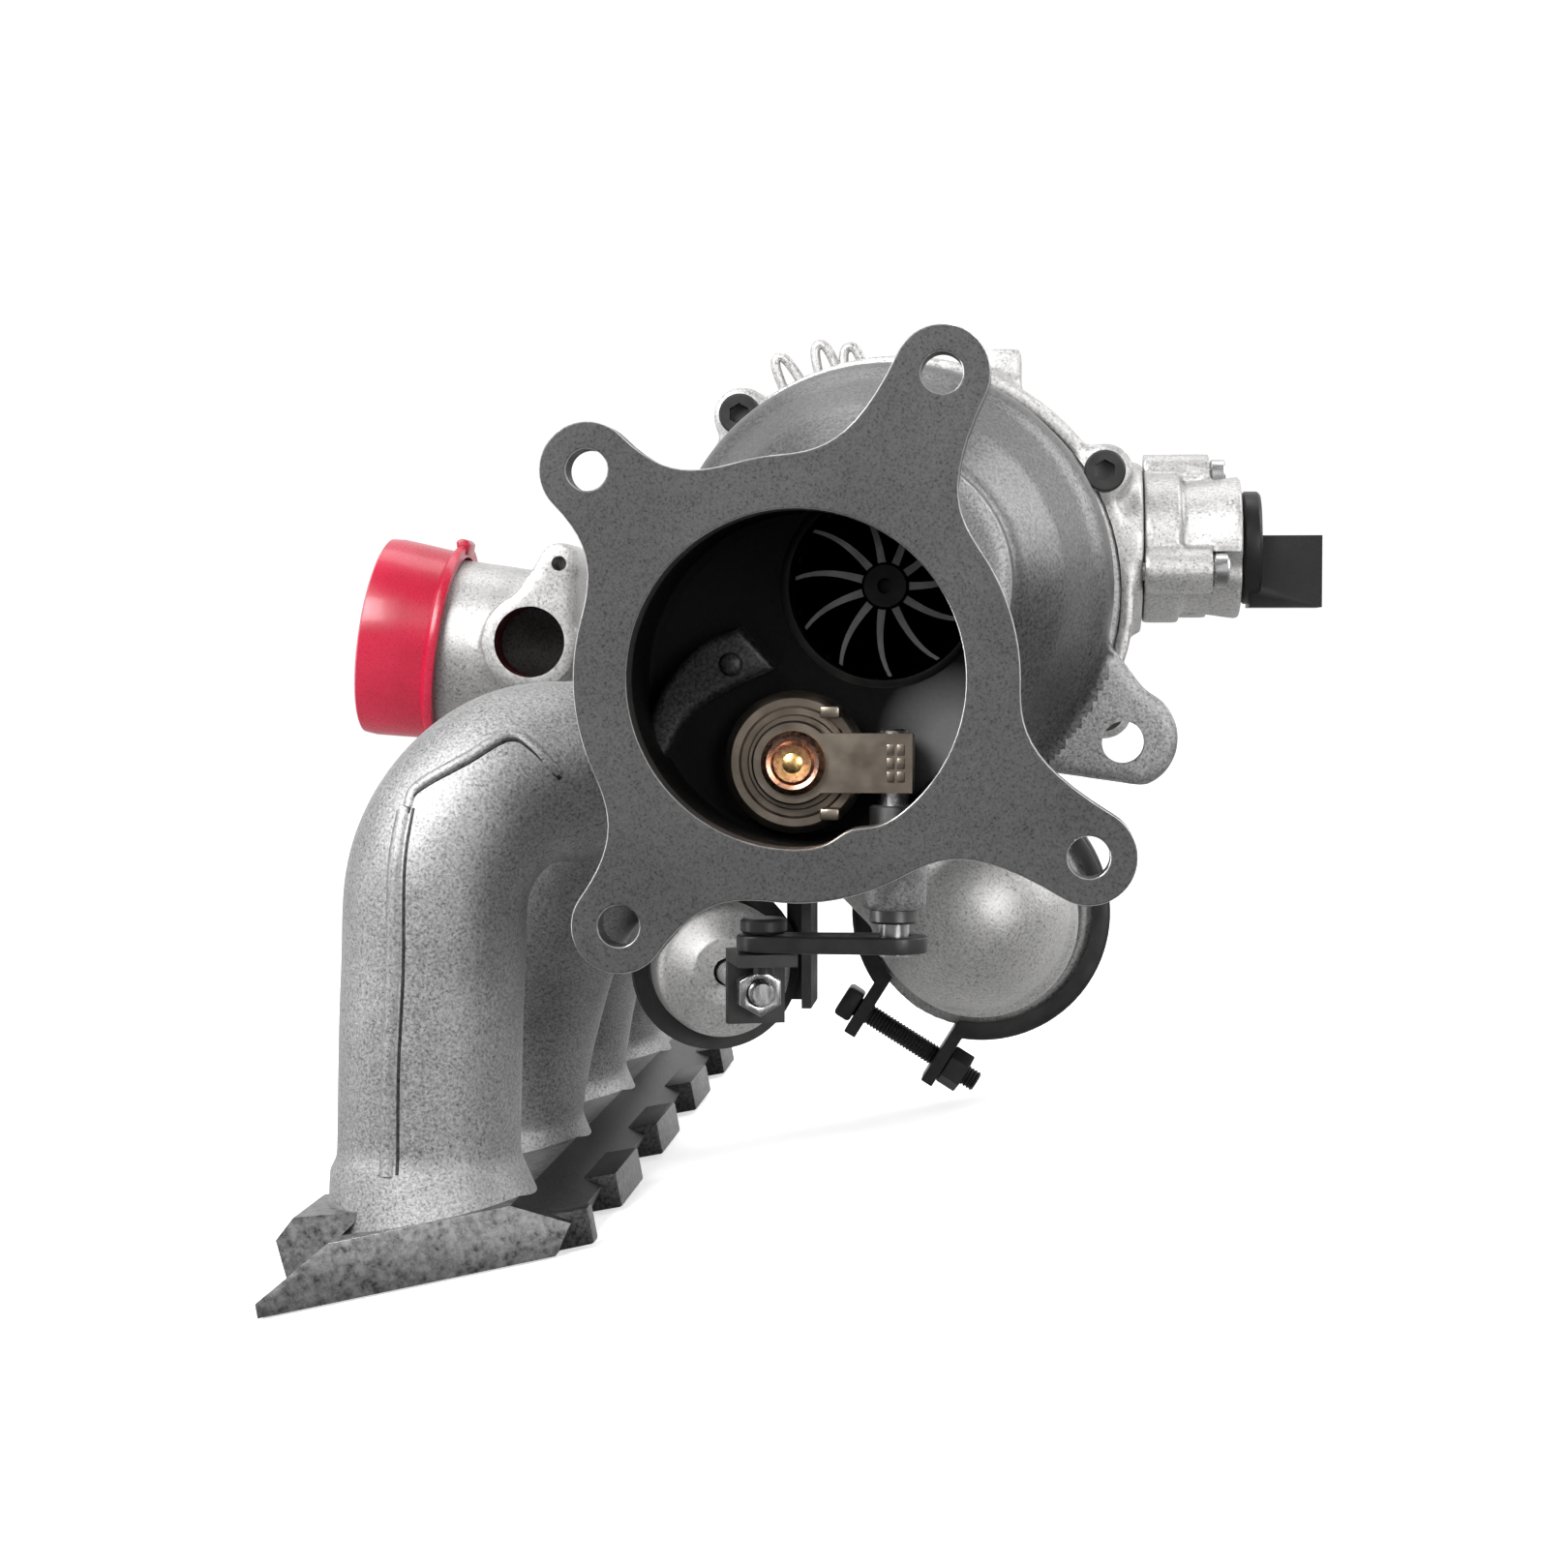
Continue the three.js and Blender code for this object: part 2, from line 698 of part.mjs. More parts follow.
piece(
  "compressor_backplate",
  castAluminium,
  turned([
    [7, BACKPLATE.front],
    [BACKPLATE.radius, BACKPLATE.front],
    [BACKPLATE.radius, BACKPLATE.front + BACKPLATE.thickness],
    [34, BACKPLATE.front + BACKPLATE.thickness],
    [33, COMPRESSOR.front - 0.7],
    [7, COMPRESSOR.front - 0.7],
  ], 28),
);
// A channel of sheet steel that holds the two joint flanges together.
piece(
  "housing_clamp_band",
  machinedSteel,
  turned(
    [
      [JOINT.radius + GAP, -JOINT.thickness - 2 * GAP],
      [JOINT.neck + 1.5, -JOINT.thickness - 2 * GAP],
      [JOINT.neck + 1.5, -JOINT.thickness - 1.6],
      [JOINT.radius + 2, -JOINT.thickness - 1.6],
      [JOINT.radius + 2, JOINT.thickness + 1.9],
      [35, JOINT.thickness + 1.9],
      [35, JOINT.thickness + 3 * GAP],
      [JOINT.radius + GAP, JOINT.thickness + 3 * GAP],
    ],
    24,
  ).translate(0, TURBINE_JOINT, 0),
);
piece("oil_feed_union", machinedSteel, oilFeedUnion());
piece("oil_drain_flange", machinedSteel, oilDrainFlange());

// ---------------------------------------------------------------- compressor cover

const INLET_NECK = 34; // straight length behind the mouth, square to the cap
const INLET_PATH = [
  [0, 152, 0],
  [0, 174, 0],
  [-14, 197, -4],
  [-52, 209, -13],
  [-92, 205, -19],
  [-128, 200, -15.1],
];
const DUCT_PATH = [
  [-14, SCROLL.y + 1, -53.5],
  [2, SCROLL.y + 2, -69.5],
  [ELBOW.x, ELBOW.y, ELBOW.z],
];

// Turns a piece drawn along X with its mouth at X = 0 into the inlet's place.
function atInletMouth(geometry) {
  return geometry.rotateY(radians(INLET.rise)).translate(...INLET.mouth.toArray());
}

function scrollWalls(spare = 0) {
  const end = SCROLL.y + 18 + spare;
  const body = turned([
    [0, COVER_FACE],
    [61 + spare, COVER_FACE],
    [62 + spare, COVER_FACE + 6],
    [60 + spare, SCROLL.y],
    [50 + spare, SCROLL.y + 15],
    [30, end],
    [0, end],
  ], 28);
  const lugs = COVER_BOLTS.angles.map((angle) =>
    rod(7.7 + spare, BACKPLATE.front - 1.5, COVER_FACE + 12 + spare, polar(COVER_BOLTS.circle, angle)),
  );
  const rim = turned([
    [BACKPLATE.radius + GAP, BACKPLATE.front - 1],
    [61 + spare, BACKPLATE.front - 1],
    [62 + spare, COVER_FACE + 1],
    [BACKPLATE.radius + GAP, COVER_FACE + 1],
  ], 28);
  const scroll = turned(ringSection(SCROLL.ring, SCROLL.y, SCROLL.section + spare, 10), 24);
  return [body, ...lugs, scroll, rim];
}

function coverWalls() {
  return [
    ...scrollWalls(),
    spindle(VALVE.radius + 3, 36, VALVE.start, [VALVE.y, VALVE.z], 20),
    block([22, COVER_FACE + 1, 40], [32, COVER_FACE + 12, 64]),
  ];
}

function elbowWalls() {
  const outlet = [SPIGOT.x, SPIGOT.z];
  return [
    bar(DUCT_PATH, ELBOW.duct, { segments: 14, steps: 2 }),
    new THREE.SphereGeometry(ELBOW.radius, 16, 8).translate(ELBOW.x, ELBOW.y, ELBOW.z),
    rod(ELBOW.radius, ELBOW.y, SPIGOT.joint, outlet, 20),
    rod(BAND.radius - 3, SPIGOT.joint - 4, SPIGOT.joint, outlet, 24),
  ];
}

function inletWalls() {
  return [
    bar(INLET_PATH, INLET.outer, { segments: 14, steps: 7 }),
    atInletMouth(spindle(INLET.outer, 0, INLET_NECK, [0, 0], 24)),
    breatherFlange(),
  ];
}

function coverRooms() {
  const shroud = turned([
    [0, COVER_FACE - 8],
    [COMPRESSOR.exducer + 1, COVER_FACE - 8],
    [COMPRESSOR.exducer + 1, COMPRESSOR.front + 5],
    [COMPRESSOR.inducer + 1.2, COMPRESSOR.front + 18],
    [COMPRESSOR.inducer + 1.2, SCROLL.y + 20],
    [0, SCROLL.y + 20],
  ]);
  const outlet = [SPIGOT.x, SPIGOT.z];
  return [
    rod(BACKPLATE.radius + GAP, 100, COVER_FACE, [0, 0], 28),
    rod(BAND.radius + 6, SPIGOT.joint, SPIGOT.joint + 20, outlet, 16),
    shroud,
    rod(SCROLL.ring + 4, COVER_FACE - 1, COMPRESSOR.front + 4, [0, 0], 20),
    turned(ringSection(SCROLL.ring, SCROLL.y, SCROLL.bore, 6), 20),
    bar(DUCT_PATH, ELBOW.bore, { segments: 8, steps: 2 }),
    new THREE.SphereGeometry(20, 12, 6).translate(ELBOW.x, ELBOW.y, ELBOW.z),
    rod(20, ELBOW.y, SPIGOT.joint + 1, outlet, 16),
    bar(INLET_PATH, INLET.bore, { segments: 9, steps: 7 }),
    atInletMouth(spindle(INLET.bore, -1, INLET_NECK, [0, 0], 20)),
    rod(BREATHER.bore, BREATHER.face - 1, 205, [BREATHER.x, BREATHER.z], 20),
    rod(2.1, BREATHER.face - 1, BREATHER.face + 12, breatherScrew(), 10),
    ...COVER_BOLTS.angles.map((angle) =>
      rod(3.2, BACKPLATE.front - 3, COVER_FACE + 10, polar(COVER_BOLTS.circle, angle), 10),
    ),
    ...valveScrewPlaces().map((place) => spindle(2.8, VALVE.start - 7, VALVE.start + 1, place, 10)),
    spindle(VALVE.bore, 40, VALVE.start + 1, [VALVE.y, VALVE.z], 20),
  ];
}

function breatherScrew() {
  return [BREATHER.x + BREATHER.screw_x, BREATHER.z + BREATHER.screw_z];
}

function breatherFlange() {
  const { x, z, face } = BREATHER;
  const pad = rod(14, face, 195, [x, z], 24);
  const [lobeX, lobeZ] = breatherScrew();
  const lobe = rod(6, face, 192, [lobeX, lobeZ], 16);
  const [dx, dz] = [lobeX - x, lobeZ - z];
  const bridge = new THREE.BoxGeometry(12, 22, Math.hypot(dx, dz))
    .rotateY(Math.atan2(dx, dz))
    .translate(x + dx / 2, face + 11, z + dz / 2);
  return carve([pad, lobe, bridge]);
}

// The cover, its outlet elbow and its inlet duct are one casting too, drawn as three nodes.
function buildCover() {
  const behind = SCROLL.y + 18 + HAIRLINE;
  const front = block([-80, 0, -80], [80, behind, 80]);
  piece("compressor_cover", castAluminium, carve(coverWalls(), coverRooms()));
  const elbow = carve(elbowWalls(), [...scrollWalls(HAIRLINE), ...coverRooms()]);
  piece("discharge_elbow", castAluminium, largestBody(elbow));
  const inlet = carve(inletWalls(), [front, ...coverRooms()]);
  piece("inlet_duct", castAluminium, largestBody(inlet));
}

buildCover();
COVER_BOLTS.angles.forEach((angle, i) => {
  const bracket = i === BRACKET_BOLT ? BRACKET_PLATE + GAP : 0;
  const seat = BACKPLATE.front - 1.5 - GAP - bracket;
  const bolt = carve(
    [rod(5.4, seat - 6, seat), rod(2.9, seat - 1, seat + 12.5, [0, 0], 10)],
    [plateAcross(hexagon(5), seat - 7, seat - 3)],
  );
  const [x, z] = polar(COVER_BOLTS.circle, angle);
  piece(`cover_bolt_${i + 1}`, blackSteel, bolt.translate(x, 0, z));
});

// ---------------------------------------------------------------- compressor outlet joint

function outletSpigot() {
  const { joint, radius, length } = SPIGOT;
  const start = joint + GAP;
  return turned([
    [20, start],
    [BAND.radius - 3, start],
    [BAND.radius - 3, start + 4],
    [radius, start + 5],
    [radius, start + length - 6],
    [radius + 1.8, start + length - 4],
    [radius + 1.2, start + length],
    [20, start + length],
  ]).translate(SPIGOT.x, 0, SPIGOT.z);
}

piece("discharge_spigot", castAluminium, outletSpigot());

// The band is a channel bent round both outlet flanges, split where its two ears turn outwards.
const bandFrame = new THREE.Group();
bandFrame.position.set(SPIGOT.x, SPIGOT.joint + GAP / 2, SPIGOT.z);
bandFrame.rotation.y = -radians(BAND.angle + 90);
core.add(bandFrame);

const BAND_GAP = 11; // half the space between the ears
const EAR = { thickness: 3.5, length: 17, half_width: 7 };

function dischargeBand() {
  const outer = BAND.radius;
  const channel = turned([
    [outer - 2.4, -5.4],
    [outer - 5, -5.8],
    [outer - 5, -8],
    [outer, -7.6],
    [outer, 7.6],
    [outer - 5, 8],
    [outer - 5, 5.8],
    [outer - 2.4, 5.4],
  ], 28);
  const split = block([-BAND_GAP, -10, -outer - 4], [BAND_GAP, 10, 0]);
  const { thickness, length, half_width: half } = EAR;
  const root = 4 - outer;
  const ears = [-BAND_GAP - thickness, BAND_GAP].map((start) =>
    block([start, -half, root - length], [start + thickness, half, root]),
  );
  const hole = spindle(3.4, -20, 20, [0, -outer - 6], 14);
  return carve([carve([channel], [split]), ...ears], [hole]);
}

piece("discharge_band", blackSteel, dischargeBand(), bandFrame);
{
  const z = -BAND.radius - 6;
  const face = BAND_GAP + EAR.thickness + GAP;
  const head = block([-face - 5, -5.5, z - 4.5], [-face, 5.5, z + 4.5]);
  const shank = spindle(3, -face - 1, face + 10, [0, z], 14);
  piece("band_tee_bolt", blackSteel, carve([head, shank]), bandFrame);
  const hex = nut(10, 3 + GAP, 0, 6).rotateZ(-Math.PI / 2).translate(face, 0, z);
  piece("band_nut", blackSteel, hex, bandFrame);
}

// ---------------------------------------------------------------- inlet cap

const capFrame = new THREE.Group();
capFrame.position.copy(INLET.mouth);
capFrame.rotation.y = radians(INLET.rise);
core.add(capFrame);

// A push-on cap: its closed end stands out along -X of its own frame.
function inletCap() {
  const wall = turned([
    [0, -4],
    [28.5, -4],
    [28.8, 0],
    [27.6, 16],
    [29.4, 17],
    [29.4, 19],
    [26.4, 19],
    [26.4, -2.2],
    [0, -2.2],
  ], 28);
  return wall.rotateZ(-Math.PI / 2);
}

piece("inlet_cap", redPlastic, inletCap(), capFrame);

// ---------------------------------------------------------------- wastegate

piece(
  "wastegate_bush",
  machinedSteel,
  carve(
    [post(GATE.bush, -80, -52, [GATE.x, GATE.y])],
    [post(GATE.shaft + RUNNING_GAP, -90, -40, [GATE.x, GATE.y], 20)],
  ),
);

// The arm is forged on the shaft: an upright block with an eye that holds the flap's rivet.
function wastegateArm() {
  const { x, y, flap_x: eyeX, flap_z: eyeZ } = GATE;
  const { front, back, low, high } = ARM;
  return carve(
    [
      post(GATE.shaft, LEVER.z - 1, high + 1, [x, y], 20),
      post(GATE.bush - 0.2, low, high, [x, y]),
      block([eyeX + 4, front, low], [x + 4.5, back, high]),
      block([x - 2, front + 1, low], [x + 4.5, y, high]),
      rod(10, front, back, [eyeX, eyeZ], 20),
    ],
    [rod(4 + GAP, front - 5, back + 5, [eyeX, eyeZ], 16)],
  );
}

piece("wastegate_arm", heatTinted, wastegateArm());

function wastegateFlap() {
  const { flap_x: x, flap_z: z, flap } = GATE;
  const back = CHAMBER_END - 2.5 - GAP;
  const front = ARM.back + GAP;
  const disc = turned([
    [0, back],
    [flap - 1, back],
    [flap, back - 1.2],
    [flap, back - 3],
    [flap - 1.4, front],
    [0, front],
  ], 28).translate(x, 0, z);
  const stem = rod(4, ARM.front - 3, back - 1, [x, z]);
  const tabs = [-1, 1].map((side) =>
    block([x + 6.5, front - 3, z + side * 12 - 1.4], [x + 11, back - 2, z + side * 12 + 1.4]),
  );
  return carve([disc, stem, ...tabs]);
}

piece("wastegate_flap", heatTinted, wastegateFlap());
piece(
  "wastegate_rivet",
  copper,
  turned([
    [4 + GAP, ARM.front - GAP],
    [7.6, ARM.front - GAP],
    [7.6, ARM.front - 1.4],
    [6.4, ARM.front - 3],
    [4 + GAP, ARM.front - 3.4],
  ], 20).translate(GATE.flap_x, 0, GATE.flap_z),
);

// The outer lever, flat under the bush, pointing at the manifold.
function wastegateLever() {
  const { x, y } = GATE;
  const { z, thickness, length } = LEVER;
  const outline = new THREE.Shape();
  outline.absarc(x, y, 8, -Math.PI / 2, Math.PI / 2, false);
  outline.absarc(x - length, y, 6.5, Math.PI / 2, (3 * Math.PI) / 2, false);
  outline.closePath();
  const plate = plateFlat(outline, z, z + thickness);
  const shaftHole = post(GATE.shaft + GAP, z - 2, z + 10, [x, y], 20);
  const pinHole = post(2.5 + GAP, z - 2, z + 10, [x - length, y], 14);
  return carve([plate], [shaftHole, pinHole]);
}

piece("wastegate_lever", blackSteel, wastegateLever());
piece(
  "lever_pin",
  blackSteel,
  carve([
    post(5.6, LEVER.z + LEVER.thickness + GAP, LEVER.z + 8, [GATE.x - LEVER.length, GATE.y], 16),
    post(2.5, LEVER.z - 5.4, LEVER.z + 6, [GATE.x - LEVER.length, GATE.y], 14),
  ]),
);

// ---------------------------------------------------------------- actuator

// Its frame: the origin is under the lever's pin, and +Y runs back along the rod.
const actuator = new THREE.Group();
actuator.position.set(GATE.x - LEVER.length, GATE.y, 0);
actuator.rotation.z = ROD_LEAN;
core.add(actuator);

const PLATE_Y = 10; // the rod end bracket's upright plate
const PISTON_Y = CAN.front + 28;

function rodEndBracket() {
  const top = LEVER.z - GAP;
  const tab = block([-7, -6.5, top - 3], [7, PLATE_Y + 3, top]);
  const upright = block([-7, PLATE_Y, ROD.z - 8], [7, PLATE_Y + 3, top]);
  const pinHole = post(4, top - 5, top + 2, [0, 0], 16);
  const rodHole = rod(ROD.radius + GAP, 0, 20, [0, ROD.z], 16);
  return carve([tab, upright], [pinHole, rodHole]);
}

piece("rod_end_bracket", blackSteel, rodEndBracket(), actuator);
const onRod = (geometry) => geometry.translate(0, 0, ROD.z);
const endNut = nut(10, ROD.radius + GAP, PLATE_Y - GAP - 5.5, 5.5);
const lockNut = nut(10, ROD.radius + GAP, PLATE_Y + 3 + GAP, 5);
piece("rod_end_nut", machinedSteel, onRod(endNut), actuator);
piece("rod_lock_nut", machinedSteel, onRod(lockNut), actuator);
piece("actuator_rod", machinedSteel, rod(ROD.radius, 1, PISTON_Y - GAP, [0, ROD.z], 16), actuator);
piece(
  "actuator_piston",
  blackPlastic,
  turned([
    [0, PISTON_Y],
    [CAN.radius - 4.2, PISTON_Y],
    [CAN.radius - 4.2, PISTON_Y + 5],
    [0, PISTON_Y + 5],
  ]).translate(0, 0, ROD.z),
  actuator,
);
piece(
  "actuator_spring",
  machinedSteel,
  coilSpring(9, 1.1, CAN.front + 3.6, CAN.front + 9, 2).translate(0, 0, ROD.z),
  actuator,
);
piece(
  "actuator_front_shell",
  machinedSteel,
  turned([
    [ROD.radius + 0.6, CAN.front],
    [9, CAN.front],
    [11, CAN.front + 2],
    [15, CAN.front + 3],
    [17.5, CAN.front + 7],
    [17.5, CAN.front + 17],
    [CAN.radius + 2, CAN.front + 17],
    [CAN.radius + 2, CAN.front + 18.2],
    [16.3, CAN.front + 18.2],
    [16.3, CAN.front + 7.6],
    [14.3, CAN.front + 4.2],
    [10.4, CAN.front + 3.2],
    [8.4, CAN.front + 1.2],
    [ROD.radius + 0.6, CAN.front + 1.2],
  ]).translate(0, 0, ROD.z),
  actuator,
);
piece(
  "actuator_rear_shell",
  blackSteel,
  turned([
    [0, CAN.front + CAN.length],
    [14, CAN.front + CAN.length],
    [18, CAN.front + CAN.length - 4],
    [18.6, CAN.front + 20],
    [CAN.radius + 2, CAN.front + 19.6],
    [CAN.radius + 2, CAN.front + 18.5],
    [17, CAN.front + 18.5],
    [16.8, CAN.front + CAN.length - 4.6],
    [13.4, CAN.front + CAN.length - 1.4],
    [0, CAN.front + CAN.length - 1.4],
  ]).translate(0, 0, ROD.z),
  actuator,
);
piece(
  "actuator_hose_nipple",
  machinedSteel,
  turned([
    [0, CAN.front + CAN.length + GAP],
    [5, CAN.front + CAN.length + GAP],
    [5, CAN.front + CAN.length + 3],
    [2.6, CAN.front + CAN.length + 4],
    [3.4, CAN.front + CAN.length + 11],
    [2.2, CAN.front + CAN.length + 15],
    [0, CAN.front + CAN.length + 15],
  ], 16).translate(0, 0, ROD.z),
  actuator,
);

// An angle from under one cover bolt down beside the can's rim.
function actuatorBracket() {
  const [boltX, boltZ] = polar(COVER_BOLTS.circle, COVER_BOLTS.angles[BRACKET_BOLT]);
  const back = BACKPLATE.front - 1.5 - GAP;
  const front = back - BRACKET_PLATE;
  const right = boltX + 7;
  const bottom = ROD.z - 10;
  const outline = polygon([
    [boltX - 7, boltZ + 7],
    [right, boltZ + 7],
    [right, bottom],
    [right - 8, bottom],
    [right - 8, bottom + 30],
    [boltX - 7, boltZ - 9],
  ]);
  const upright = plateAcross(outline, front, back);
  const wing = block([right - BRACKET_PLATE, CAN.front + 48, bottom], [right, back, bottom + 30]);
  return carve([upright, wing], [rod(3.2, front - 1, back + 1, [boltX, boltZ], 12)]);
}

piece("actuator_bracket", blackSteel, actuatorBracket());

// ---------------------------------------------------------------- diverter valve

function valveBody() {
  const { start, end, radius, y, z, bore } = VALVE;
  const seat = end - 8;
  const length = end - start - 8;
  const barrel = new THREE.CylinderGeometry(radius - 1, radius - 3.5, length, 24)
    .rotateZ(Math.PI / 2)
    .translate(end - length / 2, y, z);
  const places = valveScrewPlaces();
  return carve(
    [
      spindle(radius, start + GAP, start + 10, [y, z], 24),
      barrel,
      ...places.map((place) => spindle(6, start + GAP, seat, place)),
    ],
    [
      spindle(bore, start - 1, end - 3, [y, z], 20),
      ...places.map((place) => spindle(2.8, start - 1, end, place, 10)),
      ...places.map((place) => spindle(5.2, seat, end + 1, place, 12)),
    ],
  );
}

// Three screws round the valve, as [y, z] places.
function valveScrewPlaces() {
  return [80, 200, 320].map((angle) => {
    const [dy, dz] = polar(VALVE.radius - 0.5, angle);
    return [VALVE.y + dy, VALVE.z + dz];
  });
}

piece("diverter_valve_body", castAluminium, valveBody());

// The solenoid head, with the plug socket standing out along +X.
function solenoidHead() {
  const start = VALVE.end + GAP;
  const head = spindle(15, start, start + 5, [VALVE.y, VALVE.z], 24);
  const tab = block([start, VALVE.y - 5, VALVE.z], [start + 5, VALVE.y + 5, VALVE.z + 11.5]);
  const box = (inset, from, to) =>
    block(
      [from, VALVE.y - 8.5 + inset, VALVE.z - 16 + inset],
      [to, VALVE.y + 8.5 - inset, VALVE.z + 3 - inset],
    );
  const socket = box(0, start + 2, start + 21);
  const opening = box(2, start + 8, start + 22);
  return carve([head, tab, socket], [opening]);
}

piece("diverter_solenoid", blackPlastic, solenoidHead());
valveScrewPlaces().forEach(([y, z], i) => {
  const seat = VALVE.end - 8 + GAP;
  const screw = carve([
    spindle(4.6, seat, seat + 4, [y, z], 14),
    spindle(2.5, seat - 24, seat + 1, [y, z], 10),
  ]);
  piece(`diverter_screw_${i + 1}`, machinedSteel, screw);
});

// A closed cup that slides along X in the valve's bore, pushed shut by its spring.
piece(
  "diverter_piston",
  blackPlastic,
  turned([
    [0, -16],
    [11.6, -16],
    [11.6, 4],
    [9.8, 4],
    [9.8, -13.5],
    [0, -13.5],
  ], 24).rotateZ(-Math.PI / 2).translate(VALVE.start, VALVE.y, VALVE.z),
);
piece(
  "diverter_spring",
  machinedSteel,
  coilSpring(7.5, 0.9, 0, 8, 3).rotateZ(-Math.PI / 2).translate(VALVE.end - 12.4, VALVE.y, VALVE.z),
);

export default root;
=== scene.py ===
"""Looks of the exhaust turbocharger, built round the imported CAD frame.

Sizes are in millimetres in two frames, as in the CAD part: PART is the part's own frame, and CORE is
the turbo's, where the rotor axis is the line X = Z = 0 and the outlet flange's face is the plane Y = 0.
"""
import math

import bpy
import bmesh
import numpy as np
from mathutils import Matrix, Vector


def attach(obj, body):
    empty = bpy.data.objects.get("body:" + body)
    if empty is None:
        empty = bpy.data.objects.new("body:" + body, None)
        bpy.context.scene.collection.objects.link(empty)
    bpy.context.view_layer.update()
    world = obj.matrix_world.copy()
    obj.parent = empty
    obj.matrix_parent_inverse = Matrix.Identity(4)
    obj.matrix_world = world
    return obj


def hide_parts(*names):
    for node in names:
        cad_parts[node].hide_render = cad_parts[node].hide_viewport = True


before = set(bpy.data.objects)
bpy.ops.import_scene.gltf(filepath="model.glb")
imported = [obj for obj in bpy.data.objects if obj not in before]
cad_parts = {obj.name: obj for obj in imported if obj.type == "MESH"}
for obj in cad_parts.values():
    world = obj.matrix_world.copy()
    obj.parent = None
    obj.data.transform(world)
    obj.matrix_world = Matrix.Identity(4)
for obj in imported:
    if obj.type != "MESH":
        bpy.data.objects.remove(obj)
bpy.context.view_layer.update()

PART = Matrix.Scale(0.001, 4)
CLOCKING = math.radians(11)
CORE = PART @ Matrix.Translation((141, -188, 141.8)) @ Matrix.Rotation(CLOCKING, 4, "Y")
ROUND = 96  # segments of a large round
GAP = 0.3  # left between pieces that would touch

# Where the things lie that several pieces share: x and y of an upright axis, x and z of one along Y,
# and y and z of one along X.
GATE = (3, 43)  # the wastegate's shaft
FLAP = (-20.5, -42)
OUTLET_AXIS = (-16.9, -22)
LUG_HOLE = (57.6, -38)
SPIGOT_AXIS = (20.8, -88.3)
BREATHER_AXIS = (-106, -13)
BREATHER_LOBE = (-97.5, 9)
VALVE_AXIS = (146, 12)
CHAMBER_END = 50  # the outlet chamber's far wall
LIGHT_POOL_MIDDLE = (17, CHAMBER_END, -37)  # the middle of the painted pool of light on the chamber's floor beside the wastegate's arm


# ---- materials

class Nodes:
    """A short way to write a material's node tree."""

    def __init__(self, name):
        self.material = bpy.data.materials.new(name)
        self.material.use_nodes = True
        self.tree = self.material.node_tree
        self.shader = self.tree.nodes["Principled BSDF"]
        self.place = self.tree.nodes.new("ShaderNodeTexCoord").outputs["Object"]

    def add(self, kind, **inputs):
        node = self.tree.nodes.new(kind)
        for key, value in inputs.items():
            self.feed(node.inputs[key.replace("_", " ")], value)
        return node

    def feed(self, socket, value):
        if isinstance(value, bpy.types.NodeSocket):
            self.tree.links.new(value, socket)
        else:
            socket.default_value = value

    def noise(self, scale, detail=4.0, roughness=0.6):
        return self.add("ShaderNodeTexNoise", Vector=self.place, Scale=scale, Detail=detail,
                        Roughness=roughness).outputs["Fac"]

    def ramp(self, value, stops):
        node = self.add("ShaderNodeValToRGB", Fac=value)
        elements = node.color_ramp.elements
        while len(elements) < len(stops):
            elements.new(0.5)
        for element, (at, color) in zip(elements, stops):
            element.position = at
            element.color = (*color, 1)
        return node.outputs["Color"]

    def remap(self, value, low, high):
        """Stretches a noise, which mostly lies between 0.3 and 0.7, from low to high."""
        return self.add("ShaderNodeMapRange", Value=value, From_Min=0.3, From_Max=0.7, To_Min=low,
                        To_Max=high).outputs["Result"]

    def near(self, point, reach):
        """0 at a point of the part, in metres, and 1 at the given reach from it and beyond."""
        away = self.add("ShaderNodeVectorMath", Vector=self.place)
        away.operation = "DISTANCE"
        away.inputs[1].default_value = point
        return self.add("ShaderNodeMapRange", Value=away.outputs["Value"], From_Max=reach).outputs["Result"]

    def multiply(self, first, second, share=1.0):
        node = self.tree.nodes.new("ShaderNodeMix")
        node.data_type = "RGBA"
        node.blend_type = "MULTIPLY"
        node.inputs[0].default_value = share
        self.feed(node.inputs[6], first)
        self.feed(node.inputs[7], second)
        return node.outputs[2]

    def finish(self, color, roughness, metallic=1.0, bump=None, bump_mm=0.05, **constants):
        self.feed(self.shader.inputs["Base Color"], color)
        self.feed(self.shader.inputs["Roughness"], roughness)
        self.shader.inputs["Metallic"].default_value = metallic
        for key, value in constants.items():
            self.shader.inputs[key.replace("_", " ")].default_value = value
        if bump is not None:
            node = self.add("ShaderNodeBump", Height=bump, Strength=1.0, Distance=bump_mm / 1000)
            self.feed(self.shader.inputs["Normal"], node.outputs["Normal"])
        return self.material


def grey(value, warmth=0.0):
    return (value * (1 + warmth), value, value * (1 - warmth))


def cast_metal(name, dark, light, rough, grain_mm=0.9, bump_mm=0.12, metallic=0.9, warmth=0.0):
    """A blasted casting: fine grain, dark specks in its pits and slow patches of tone."""
    n = Nodes(name)
    grain = n.noise(1000 / grain_mm, 5, 0.7)
    patches = n.ramp(n.noise(28, 3), [(0.35, grey(0.8)), (0.65, grey(1.0))])
    pit = grey(dark * 0.45)
    specks = n.ramp(grain, [(0.34, pit), (0.42, grey(dark, warmth)), (0.62, grey(light, warmth))])
    return n.finish(n.multiply(specks, patches), n.remap(grain, *rough), metallic, grain, bump_mm)


